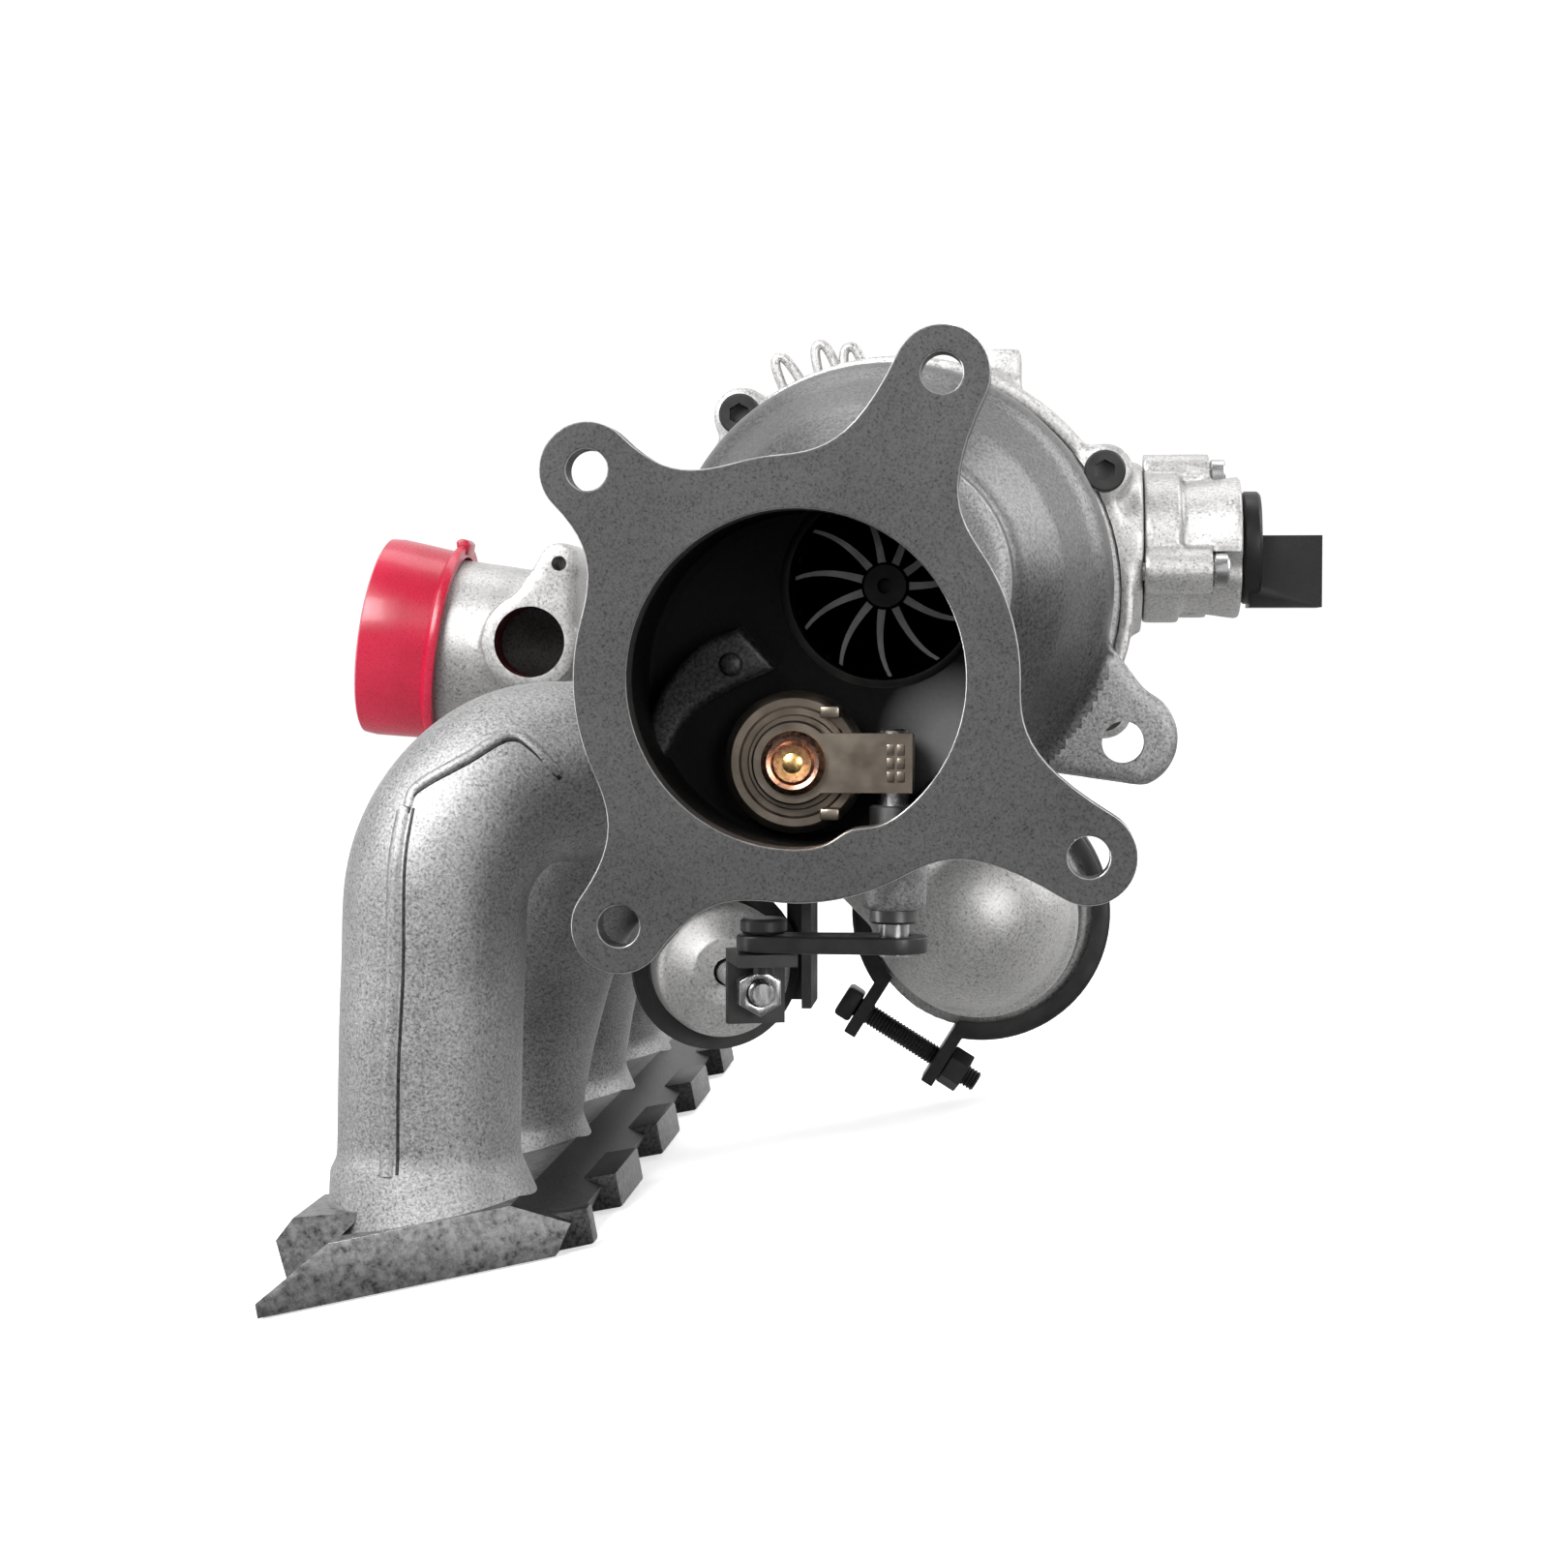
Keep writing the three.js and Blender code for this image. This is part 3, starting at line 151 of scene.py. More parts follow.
def worked_metal(name, tone, rough, warmth=0.0, metallic=1.0):
    """A machined or rolled surface with faint mottling and fine scratches."""
    n = Nodes(name)
    stretched = n.add("ShaderNodeMapping", Vector=n.place, Scale=(60, 900, 60)).outputs["Vector"]
    lines = n.add("ShaderNodeTexNoise", Vector=stretched, Scale=3.0, Detail=3.0).outputs["Fac"]
    stains = n.noise(90, 4)
    low, high = grey(tone * 0.8, warmth), grey(min(tone * 1.12, 1), warmth)
    color = n.ramp(stains, [(0.35, low), (0.65, high)])
    return n.finish(color, n.remap(lines, *rough), metallic, lines, 0.012)


def plastic(name, low, high, rough, **constants):
    n = Nodes(name)
    grain = n.noise(2600, 2)
    color = n.ramp(n.noise(45, 3), [(0.3, low), (0.7, high)])
    return n.finish(color, n.remap(grain, *rough), 0.0, grain, 0.02, **constants)


def rivet_material():
    """Heat colours in rings round the flap's rivet: copper, straw, then violet and blue."""
    n = Nodes("copper_rivet")
    middle, rim = CORE @ Vector((FLAP[0], 36, FLAP[1])), 0.0079
    wobble = n.add("ShaderNodeMath")
    n.feed(wobble.inputs[0], n.near(middle, rim))
    n.feed(wobble.inputs[1], n.remap(n.noise(500, 3), -0.16, 0.16))
    color = n.ramp(wobble.outputs[0], [
        (0.0, (0.35, 0.20, 0.06)), (0.25, (0.95, 0.62, 0.25)), (0.45, (0.95, 0.50, 0.22)),
        (0.62, (0.80, 0.36, 0.20)), (0.8, (0.50, 0.30, 0.24)), (1.0, (0.75, 0.42, 0.22))])
    return n.finish(color, n.remap(n.noise(900, 3), 0.22, 0.42), 1.0, n.noise(700, 3), 0.05)


def soot_and_painted_light_material():
    """Black soot, with a pool of light painted as a patch of grey iron on the chamber's floor beside the
    wastegate arm.
    """
    n = Nodes("soot_and_painted_light")
    # painted light: grey near that point, fading out into the black soot
    color = n.ramp(n.near(CORE @ Vector(LIGHT_POOL_MIDDLE), 0.021), [(0.25, grey(0.2)), (0.9, grey(0.004))])
    return n.finish(color, n.remap(n.noise(900, 4), 0.5, 0.7), 0.4, n.noise(900, 4), 0.1,
                    Specular_IOR_Level=0.15)


CAST = {  # darkest and lightest tone, roughness, grain and its depth in millimetres, metallic, warmth
    "cast_iron": (0.27, 0.48, (0.42, 0.6), 0.7),
    "volute_iron": (0.11, 0.21, (0.28, 0.44), 0.8, 0.06),
    "flange_iron": (0.17, 0.3, (0.42, 0.6), 2.2, 0.15),
    # The next entry is dark iron and also painted shade, on the head flange's right side, its lugs and the
    # thin lines beside the runner's rib and under its step.
    "dark_iron_and_painted_shade": (0.035, 0.08, (0.4, 0.6), 1.0, 0.12),
    "flange_steel": (0.065, 0.095, (0.46, 0.58), 0.6, 0.03, 0.7),
    "cast_aluminium": (0.46, 0.66, (0.38, 0.55), 0.7, 0.08, 0.8, 0.01),
}
WORKED = {  # tone, roughness, warmth, metallic
    # The next entry is a painted highlight, on the outlet flange's bevels and along the head flange's top
    # edge.
    "painted_edge_highlight": (0.75, (0.2, 0.35)),
    "machined_steel": (0.62, (0.18, 0.36)),
    "dull_steel": (0.22, (0.35, 0.5)),
    "black_steel": (0.045, (0.3, 0.5), 0.0, 0.7),
    "heat_tinted": (0.28, (0.28, 0.45), 0.18),
    "wheel_alloy": (0.045, (0.3, 0.45)),
    "bronze": (0.5, (0.25, 0.4), 0.35),
    # The next entry is a painted highlight on the turbine blades' ends that face the outlet.
    "painted_blade_highlight": (0.26, (0.25, 0.4)),
}
LOOKS = {
    **{name: cast_metal(name, *values) for name, values in CAST.items()},
    **{name: worked_metal(name, *values) for name, values in WORKED.items()},
    "soot_and_painted_light": soot_and_painted_light_material(),
    "copper_rivet": rivet_material(),
    "black_plastic": plastic("black_plastic", grey(0.006), grey(0.012), (0.3, 0.45),
                             Specular_IOR_Level=0.25),
    "red_plastic": plastic("red_plastic", (0.36, 0.002, 0.022), (0.5, 0.004, 0.04), (0.24, 0.36),
                           Transmission_Weight=0.2, IOR=1.49, Coat_Weight=0.15),
    "breather_shade": plastic("breather_shade", (0.05, 0.004, 0.006), (0.09, 0.008, 0.01), (0.4, 0.6)),
}


# ---- mesh helpers

def polar(radius, degrees):
    return radius * math.cos(math.radians(degrees)), radius * math.sin(math.radians(degrees))


def cleaned(mesh, reach):
    """Merges the vertices within reach of each other and turns every face outwards."""
    work = bmesh.new()
    work.from_mesh(mesh)
    bmesh.ops.remove_doubles(work, verts=work.verts, dist=reach)
    bmesh.ops.recalc_face_normals(work, faces=work.faces)
    work.to_mesh(mesh)
    work.free()
    return mesh


def mesh_of(verts, faces):
    mesh = bpy.data.meshes.new("m")
    mesh.from_pydata(verts, [], faces)
    return cleaned(mesh, 1e-4)


def turned(section, segments=ROUND):
    """A closed half section of [radius, y] points swept round the Y axis."""
    count = len(section)
    verts, faces = [], []
    for i in range(segments):
        turn = 2 * math.pi * i / segments
        verts += [(r * math.cos(turn), y, r * math.sin(turn)) for r, y in section]
    on_axis = section[0][0] == 0 and section[-1][0] == 0
    for i in range(segments):
        here, there = i * count, (i + 1) % segments * count
        for j in range(count - 1 if on_axis else count):
            k = (j + 1) % count
            faces.append((here + j, here + k, there + k, there + j))
    return mesh_of(verts, faces)


def rod(radius, y0, y1, centre=(0, 0), segments=64, chamfer=0.0):
    """A cylinder along Y, its axis at x and z."""
    c = chamfer
    ends = [(0, y0), (radius - c, y0), (radius, y0 + c), (radius, y1 - c), (radius - c, y1), (0, y1)]
    section = [p for i, p in enumerate(ends) if i == 0 or p != ends[i - 1]]
    return moved(turned(section, segments), (centre[0], 0, centre[1]))


def post(radius, z0, z1, centre, segments=48, chamfer=0.0):
    """A rod that stands along Z, its axis at x and y."""
    upright = Matrix.Translation((*centre, 0)) @ Matrix.Rotation(math.pi / 2, 4, "X")
    return changed(rod(radius, z0, z1, (0, 0), segments, chamfer), upright)


def spindle(radius, x0, x1, centre=(0, 0), segments=48, chamfer=0.0):
    """A rod that lies along X, its axis at y and z."""
    return laid(rod(radius, x0, x1, (0, 0), segments, chamfer), centre)


def changed(mesh, matrix):
    mesh.transform(matrix)
    return mesh


def moved(mesh, offset):
    return changed(mesh, Matrix.Translation(offset))


def laid(mesh, axis=(0, 0)):
    """Turns a mesh made round the Y axis to lie along X, its axis at y and z."""
    return changed(mesh, Matrix.Translation((0, *axis)) @ Matrix.Rotation(-math.pi / 2, 4, "Z"))


def block(low, high):
    xs, ys, zs = zip(low, high)
    corners = [(x, y, z) for x in xs for y in ys for z in zs]
    sides = [(0, 1, 3, 2), (4, 6, 7, 5), (0, 4, 5, 1), (2, 3, 7, 6), (0, 2, 6, 4), (1, 5, 7, 3)]
    return mesh_of(corners, sides)


def smooth_path(points, steps):
    """Points along a Catmull-Rom curve through the given points."""
    p = [Vector(q) for q in points]
    p = [p[0] * 2 - p[1], *p, p[-1] * 2 - p[-2]]
    line = []
    for i in range(1, len(p) - 2):
        for step in range(steps):
            t = step / steps
            a, b, c, d = p[i - 1:i + 3]
            line.append(0.5 * (2 * b + (c - a) * t + (2 * a - 5 * b + 4 * c - d) * t ** 2
                               + (3 * b - a - 3 * c + d) * t ** 3))
    return [*line, p[-2]]


def tube(points, radius, segments=48, steps=10):
    """A closed round bar along a smooth path; its radius is a number or one for each end."""
    path = smooth_path(points, steps)
    first, last = radius if isinstance(radius, tuple) else (radius, radius)
    side = (path[1] - path[0]).orthogonal().normalized()
    verts, faces = [], []
    for i, at in enumerate(path):
        along = (path[min(i + 1, len(path) - 1)] - path[max(i - 1, 0)]).normalized()
        side = (side - along * side.dot(along)).normalized()
        other = along.cross(side)
        r = first + (last - first) * i / (len(path) - 1)
        for j in range(segments):
            u, v = polar(r, 360 * j / segments)
            verts.append(at + side * u + other * v)
    for i in range(len(path) - 1):
        for j in range(segments):
            k = (j + 1) % segments
            here, there = i * segments, (i + 1) * segments
            faces.append((here + j, here + k, there + k, there + j))
    faces.append(tuple(reversed(range(segments))))
    faces.append(tuple(len(verts) - segments + j for j in range(segments)))
    return mesh_of(verts, faces)


def plate(loops, thickness, bevel=0.5, upright=True):
    """A plate with rounded edges, from its outline and hole loops. Upright it is square to Y, its
    front at y = 0; otherwise it lies flat, its underside at z = 0."""
    curve = bpy.data.curves.new("plate", "CURVE")
    curve.dimensions = "2D"
    curve.fill_mode = "BOTH"
    for loop in loops:
        spline = curve.splines.new("POLY")
        spline.points.add(len(loop) - 1)
        for point, (x, y) in zip(spline.points, loop):
            point.co = (x, y, 0, 1)
        spline.use_cyclic_u = True
    curve.extrude = thickness / 2 - bevel
    curve.bevel_depth = bevel
    curve.bevel_resolution = 2
    curve.offset = -bevel
    holder = bpy.data.objects.new("plate", curve)
    mesh = cleaned(bpy.data.meshes.new_from_object(holder), 1e-3)
    bpy.data.objects.remove(holder)
    if upright:
        raised = Matrix.Translation((0, thickness / 2, 0)) @ Matrix.Rotation(math.pi / 2, 4, "X")
        return changed(mesh, raised)
    return moved(mesh, (0, 0, thickness / 2))


def prism(corners, z0, z1):
    """An upright block from its corners in X and Y, given anticlockwise."""
    count = len(corners)
    verts = [(x, y, z) for z in (z0, z1) for x, y in corners]
    sides = [(i, (i + 1) % count, (i + 1) % count + count, i + count) for i in range(count)]
    return mesh_of(verts, [*sides, tuple(reversed(range(count))), tuple(range(count, 2 * count))])


def ring(centre, radius, count=48):
    spots = [polar(radius, 360 * i / count) for i in range(count)]
    return [(centre[0] + u, centre[1] + v) for u, v in spots]


def arc(centre, radius, start, end, count=16):
    turns = [start + (end - start) * i / count for i in range(count + 1)]
    return [(centre[0] + u, centre[1] + v) for u, v in (polar(radius, turn) for turn in turns)]


def hexagon(across):
    return [polar(across / math.sqrt(3), 60 * i + 30) for i in range(6)]


def joined(meshes):
    """One mesh that holds several, without any cut between them."""
    work = bmesh.new()
    for mesh in meshes:
        work.from_mesh(mesh)
    total = bpy.data.meshes.new("joined")
    work.to_mesh(total)
    work.free()
    return total


def applied(obj):
    """Applies every modifier of the object to its mesh."""
    depsgraph = bpy.context.evaluated_depsgraph_get()
    mesh = bpy.data.meshes.new_from_object(obj.evaluated_get(depsgraph))
    obj.modifiers.clear()
    obj.data = mesh


def shown(name, data):
    """An object in the scene that holds the given mesh, light or camera."""
    obj = bpy.data.objects.new(name, data)
    bpy.context.scene.collection.objects.link(obj)
    return obj


def taken(obj):
    """Takes a working object out of the scene and gives its mesh."""
    mesh = obj.data
    bpy.data.objects.remove(obj)
    return mesh


def cast(solids, cuts=(), voxel_mm=1.5, smoothing=8):
    """Runs the solids together into one casting with soft fillets, then cuts the machined hollows."""
    obj = shown("work", joined(solids))
    remesh = obj.modifiers.new("remesh", "REMESH")
    remesh.mode = "VOXEL"
    remesh.voxel_size = voxel_mm
    soften = obj.modifiers.new("soften", "SMOOTH")
    soften.iterations = smoothing
    soften.factor = 0.6
    applied(obj)
    return machined([taken(obj)], cuts)


def combine(obj, mesh, operation="DIFFERENCE"):
    cutter = shown("work", mesh)
    boolean = obj.modifiers.new("combine", "BOOLEAN")
    boolean.operation = operation
    boolean.solver = "MANIFOLD"
    boolean.object = cutter
    applied(obj)
    bpy.data.objects.remove(cutter)


def machined(solids, cuts=()):
    """Joins crisp solids into one and takes the cuts out of it."""
    first, *others = solids
    obj = shown("work", first)
    for mesh in others:
        combine(obj, mesh, "UNION")
    for mesh in cuts:
        combine(obj, mesh)
    return taken(obj)


def piece(name, mesh, look, nodes=(), place=CORE, body="housing", sharp=32, bevel_mm=0.0):
    """Puts a mesh into the scene as a piece of the object, in place of the CAD nodes named."""
    obj = shown(name, mesh)
    if bevel_mm:
        bevel = obj.modifiers.new("bevel", "BEVEL")
        bevel.width = bevel_mm
        bevel.segments = 2
        bevel.limit_method = "ANGLE"
        bevel.angle_limit = math.radians(sharp)
        applied(obj)
    obj.data.transform(place)
    obj.data.materials.clear()
    obj.data.materials.append(LOOKS[look])
    obj.data.polygons.foreach_set("use_smooth", [True] * len(obj.data.polygons))
    obj.data.set_sharp_from_angle(angle=math.radians(sharp))
    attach(obj, body)
    if nodes:
        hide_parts(*nodes)
    return obj


def second_look(obj, look, chosen):
    """Gives another material to the faces that are chosen, an array of one truth value a face."""
    faces = obj.data.polygons
    obj.data.materials.append(LOOKS[look])
    index = np.zeros(len(faces), int)
    faces.foreach_get("material_index", index)
    index[chosen] = len(obj.data.materials) - 1
    faces.foreach_set("material_index", index)


def of_faces(obj, what):
    values = np.zeros(len(obj.data.polygons) * 3)
    obj.data.polygons.foreach_get(what, values)
    return values.reshape(-1, 3)


def centres_in(place, obj):
    """The middle of every face, in millimetres in the frame that place stands for."""
    back = np.array(place.inverted())
    return of_faces(obj, "center") @ back[:3, :3].T + back[:3, 3]


def normals_in(place, obj):
    """The way every face looks, in the frame that place stands for."""
    return of_faces(obj, "normal") @ np.array(place.to_3x3().normalized())


def off_axis(points, axis):
    """How far each point is from the line along Y through x and z."""
    return np.hypot(points[:, 0] - axis[0], points[:, 2] - axis[1])


# ---- turbine housing

OUTLET = {"bore": 37.9, "body": 50, "thickness": 9}
BORE_SWELL = {"angle": 290, "width": 8, "height": 2.2}  # where the bore clears the shaft's boss
EARS = ((64.4, 75), (135, 66.1), (234.3, 68.2), (328.9, 76.1))  # angle, reach
EAR = {"radius": 10.8, "hole": 4.7, "spread": 31, "hollow": 17.05, "neck": 2, "flare": 1.6}
POCKET_START = 24  # the round pocket in front of the wheel
JOINT_Y = 98  # where the bearing housing meets the turbine housing
VOLUTE = {"y": 76, "ring": 39.5, "section": 16}
SUPPORT_LUG = {"hole": 5.2, "thickness": 8}
RUNNER = {"outer": 22.5, "foot": 27, "bore": 17.5, "neck": 15.5}
RUNNER_PATHS = [
    [(2, -132, 14), (14, -132, 68), (23, -131, 98), (43, -122, 113), (70, -100, 108)],
    [(2, -44, 14), (16, -50, 48), (36, -64, 80), (66, -84, 103)],
    [(2, 44, 14), (14, 36, 46), (33, 8, 76), (56, -26, 94)],
    [(2, 132, 14), (12, 122, 44), (30, 92, 68), (48, 44, 83), (55, 0, 90)],
]
COLLECTOR_PATH = [(55, 4, 90), (58, -40, 94), (70, -82, 104), (82, -100, 108)]
NECK_PATH = [(70, -96, 104), (90, -110, 110), (116, -112, 114)]
TO_CORE = CORE.inverted() @ PART
# The CAD draws each casting as several nodes; here each one is a single piece again.
HOUSING_NODES = [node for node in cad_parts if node.startswith("manifold_")
                 or node in ("turbine_housing", "outlet_flange", "head_flange")]
COVER_NODES = [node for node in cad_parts
               if node in ("compressor_cover", "discharge_elbow", "inlet_duct")]


def bezier(a, b, c, d, count=12):
    """The points between the ends of a cubic curve."""
    points = []
    for i in range(1, count):
        t = i / count
        s = 1 - t
        weights = (s ** 3, 3 * s * s * t, 3 * s * t * t, t ** 3)
        points.append(tuple(sum(w * p[k] for w, p in zip(weights, (a, b, c, d))) for k in (0, 1)))
    return points


def ear_centre(angle, reach):
    u, v = polar(reach, angle)
    return OUTLET_AXIS[0] + u, OUTLET_AXIS[1] + v


def outlet_outline():
    """A round body with an ear over each stud, blended in on both sides."""
    outline = []
    centre, body = OUTLET_AXIS, OUTLET["body"]
    r, spread = EAR["radius"], EAR["spread"]
    lean, neck, flare = polar(body, EAR["hollow"])[0], body + EAR["neck"], EAR["flare"] * r
    for i, (angle, reach) in enumerate(EARS):
        u, v = polar(1, angle)

        def side(along, across):
            return centre[0] + u * along - v * across, centre[1] + v * along + u * across

        start, end = ear_centre(angle - spread, body), ear_centre(angle + spread, body)
        outline.append(start)
        outline += bezier(start, side(lean, -flare), side(neck, -r), side(reach, -r))
        outline += arc(side(reach, 0), r, angle - 90, angle + 90, 24)
        outline += bezier(side(reach, r), side(neck, r), side(lean, flare), end)
        until = EARS[(i + 1) % 4][0] - spread + (360 if i == 3 else 0)
        outline += arc(centre, body, angle + spread, until, 14)[:-1]
    return outline


def torus(ring_radius, y, section, around=ROUND, across=32):
    points = [polar(section, 360 * i / across) for i in range(across)]
    return turned([(ring_radius + u, y + v) for u, v in points], around)


def housing_solids():
    y, ring_radius = VOLUTE["y"], VOLUTE["ring"]
    runners = [tube(path, RUNNER["outer"]) for path in RUNNER_PATHS]
    feet = [tube([(x + 1, v, 9), (x + 1, v, 29)], (RUNNER["foot"], RUNNER["outer"]))
            for (x, v, _), *_ in RUNNER_PATHS]
    manifold = [*runners, *feet, tube(COLLECTOR_PATH, RUNNER["outer"] + 2), tube(NECK_PATH, RUNNER["neck"])]
    lug = [(30, -28), (53, -12), *arc((LUG_HOLE[0] + 1, LUG_HOLE[1] + 1), 12.5, 70, -70, 10), (30, -44)]
    thick = SUPPORT_LUG["thickness"]
    return [
        *[changed(mesh, TO_CORE) for mesh in manifold],
        rod(45.4, 6, CHAMBER_END + 12, OUTLET_AXIS),  # the outlet chamber
        rod(31, 20, y),  # round the pocket and the wheel
        torus(ring_radius, y, VOLUTE["section"]),
        turned([(0, 34), (33, 34), (43, 48), (50.8, 64.7), (0, 64.7)]),  # from the chamber to the volute
        rod(ring_radius, CHAMBER_END, y + 16),
        rod(38, y, 96),
        rod(44, 95, JOINT_Y),  # the rim that the clamp band holds
        moved(plate([lug], thick), (0, y - thick / 2, 0)),
        post(7.8, -77, -54.5, GATE),  # the boss of the wastegate's bush
    ]


def chamber_guide():
    """The raised guide cast into the outlet chamber, with a small boss on it."""
    upper = [(-56.5, -41), (-55.5, -33), (-51, -23), (-43, -14), (-33.3, -9.8)]
    lower = [(-24.8, -19.9), (-36, -25), (-46, -32), (-52, -43)]
    edges = [smooth_path([(x, z, 0) for x, z in edge], 4) for edge in (upper, lower)]
    outline = [(x, z) for edge in edges for x, z, _ in edge]
    boss = rod(2.8, 38.8, 44, (-35.5, -18.8), chamfer=0.8)
    return joined([moved(plate([outline], 12, 2), (0, 40, 0)), boss])


def housing_cuts():
    bores = [changed(tube(path, RUNNER["bore"]), TO_CORE) for path in RUNNER_PATHS]
    return [
        rod(39.1, 0, CHAMBER_END, OUTLET_AXIS, chamfer=2),
        rod(26, POCKET_START, CHAMBER_END),
        rod(22.6, CHAMBER_END - 2, 80),  # the shroud of the wheel
        rod(26, 67, 85),
        rod(34, 80, JOINT_Y + 1),  # where the bearing housing plugs in
        rod(SUPPORT_LUG["hole"], 68, 84, LUG_HOLE),
        rod(13, CHAMBER_END - 3, 70, FLAP),  # the port that the flap shuts
        post(6.1, -80, -48, GATE),
        *bores,
    ]


def near_runners(centres, reach):
    """Which of the points lie within reach of a runner's path."""
    near = np.zeros(len(centres), bool)
    for path in RUNNER_PATHS:
        for point in smooth_path(path, 24):
            near |= ((centres - np.array(point)) ** 2).sum(1) < reach ** 2
    return near


def turbine_housing():
    shell = cast(housing_solids(), housing_cuts(), 1.3)
    body = piece("turbine_housing_casting", shell, "cast_iron", HOUSING_NODES)
    core = centres_in(CORE, body)
    from_axis, from_bore, y = off_axis(core, (0, 0)), off_axis(core, OUTLET_AXIS), core[:, 1]
    room = (from_bore < 39.6) & (y < CHAMBER_END + 0.5) | (from_axis < 26.5) & (y > POCKET_START)
    bores = near_runners(centres_in(PART, body), RUNNER["bore"] + 0.8)
    second_look(body, "volute_iron", (from_axis < 58) & (from_bore > 46.5) & (y > POCKET_START))
    # Black soot in the chamber, the pocket and the runners' bores, with the painted pool of light in the
    # chamber.
    second_look(body, "soot_and_painted_light", room | bores)
    piece("chamber_tongue", chamber_guide(), "dark_iron_and_painted_shade", sharp=60)
    flange = piece("outlet_flange_plate", outlet_flange(), "flange_steel", sharp=12)
    # painted highlight: the sloping bevel faces of the plate take a light metal
    slope = np.abs(normals_in(CORE, flange)[:, 1])
    second_look(flange, "painted_edge_highlight", (slope > 0.2) & (slope < 0.95))
    seam(body)
    head_flange()


def outlet_flange():
    """The flange's plate, its bore swelling inwards where it clears the shaft's boss."""
    holes = [ring(ear_centre(*ear), EAR["hole"], 40) for ear in EARS]
    bore = []
    for turn in range(0, 360, 3):
        swell = BORE_SWELL["height"] * math.exp(-((turn - BORE_SWELL["angle"]) / BORE_SWELL["width"]) ** 2)
        u, v = polar(OUTLET["bore"] - swell, turn)
        bore.append((OUTLET_AXIS[0] + u, OUTLET_AXIS[1] + v))
    return plate([outlet_outline(), bore, *holes], OUTLET["thickness"], 0.45)


def laid_on(body, path, sunk):
    """The smooth line through [x, z] points of the part's frame, laid on the casting's near side."""
    line = []
    for x, z, _ in smooth_path([(x, z, 0) for x, z in path], 8):
        hit, at, normal, _ = body.ray_cast(PART @ Vector((x, -250, z)), (0, 1, 0))
        if hit:
            line.append(at * 1000 - normal * sunk)
    return line


def seam(body):
    """The parting rib up the near runner, with a groove beside it drawn as a thin line of painted shade,
    and the step where it wraps over, with a line of painted shadow under it.
    """
    rise = [(0, 26), (5, 50), (11, 74), (16, 98), (20, 111)]
    step = [(20, 111), (23, 115.5), (36, 120), (46, 123.5), (51, 120), (56, 112)]
    for name, path, right, up, radius, sunk, look in (
            ("runner_rib", rise, -1.2, 0, 2.4, 1.6, "cast_iron"),
            # painted shade: a thin dark line beside the rib
            ("runner_groove_painted_shade", rise, 1.6, 0, 0.55, 0.35, "dark_iron_and_painted_shade"),
            ("runner_step", step, 0, 0.6, 1.7, 1.0, "cast_iron"),
            # painted shadow: a thin dark line under the step
            ("runner_step_painted_shadow", step, 0, -0.9, 0.6, 0.3, "dark_iron_and_painted_shade")):
        line = laid_on(body, [(x + right, z + up) for x, z in path], sunk)
        piece(name, tube(line, radius, 16, 2), look, place=PART)


HEAD_FLANGE = {"half": 35, "thickness": 14, "near": -160, "far": 174, "skew": 14}
FACET = {"length": 46, "start": -170, "set_back": 9}
LUG = {"pitch": 81, "reach": 20, "width": 9, "top": 9.5, "behind_end": 3}


def head_flange():
    """The flange's beam with its near end cut off askew, the facetted boss on that end, and the lugs."""
    f = HEAD_FLANGE
    half, thick, near, skew = f["half"], f["thickness"], f["near"], f["skew"]
    section = [(-half, 0), (half, 0), (half + 5, thick / 2), (half - 8, thick), (19 - half, thick),
               (-half, 3.5)]
    beam = moved(plate([section], f["far"] - near + skew, 0.6), (0, near - skew, 0))
    wide, askew = half + 20, skew * 0.75
    end_cut = prism([(-wide, near - 40), (wide, near - 40), (wide, near + askew), (-wide, near - askew)],
                    -1, 2 * thick)
    mouths = [post(RUNNER["bore"], -2, 24, path[0][:2], 64) for path in RUNNER_PATHS]
    beam = piece("head_flange_beam", machined([beam], [end_cut.copy(), *mouths]), "flange_iron", place=PART,
                 bevel_mm=0.7)
    at, faces = centres_in(PART, beam), normals_in(PART, beam)
    # painted shade: the sloping face along the beam's right side takes the dark iron
    second_look(beam, "dark_iron_and_painted_shade", (faces[:, 0] > 0.3) & (faces[:, 2] > 0.3) & (at[:, 0] > half - 7))
    # painted highlight: the bevels along the beam's top edge take a light metal
    top_edge_highlight = (faces[:, 2] > 0.25) & (faces[:, 2] < 0.95) & (at[:, 2] > thick - 1.2)
    second_look(beam, "painted_edge_highlight", top_edge_highlight)
    facet = [(6 - half, 3), (5 - half, 16), (10 - half, 20.5), (27 - half, 18.5), (17 - half, 12)]
    boss = moved(plate([facet], FACET["length"], 0.6), (0, FACET["start"], 0))
    set_back = moved(end_cut.copy(), (0, FACET["set_back"], 0))
    boss = machined([boss], [set_back, mouths[0].copy()])
    piece("head_flange_boss", boss, "flange_iron", place=PART)
    for i in range(5):
        y = (i - 2) * LUG["pitch"]
        lug = block((half - LUG["width"], y - LUG["reach"], 0.5),
                    (half + LUG["width"], min(y + LUG["reach"], f["far"]), LUG["top"]))
        behind_end = moved(end_cut.copy(), (0, LUG["behind_end"], 0))
        # painted shade: each lug is dark iron but for its ends that face +X, which keep the flange's iron
        lug = piece(f"head_flange_lug_{i + 1}", machined([lug], [behind_end]), "dark_iron_and_painted_shade", place=PART,
                    bevel_mm=0.8)
        second_look(lug, "flange_iron", normals_in(PART, lug)[:, 0] > 0.6)


# ---- rotor

TURBINE = {"front": 58, "back": 82, "exducer": 21.8, "inducer": 25, "hub": 5.5, "blades": 11}
COMPRESSOR = {"front": 132, "back": 158, "inducer": 22.5, "exducer": 32, "blades": 6}
SHAFT_TAIL = 4


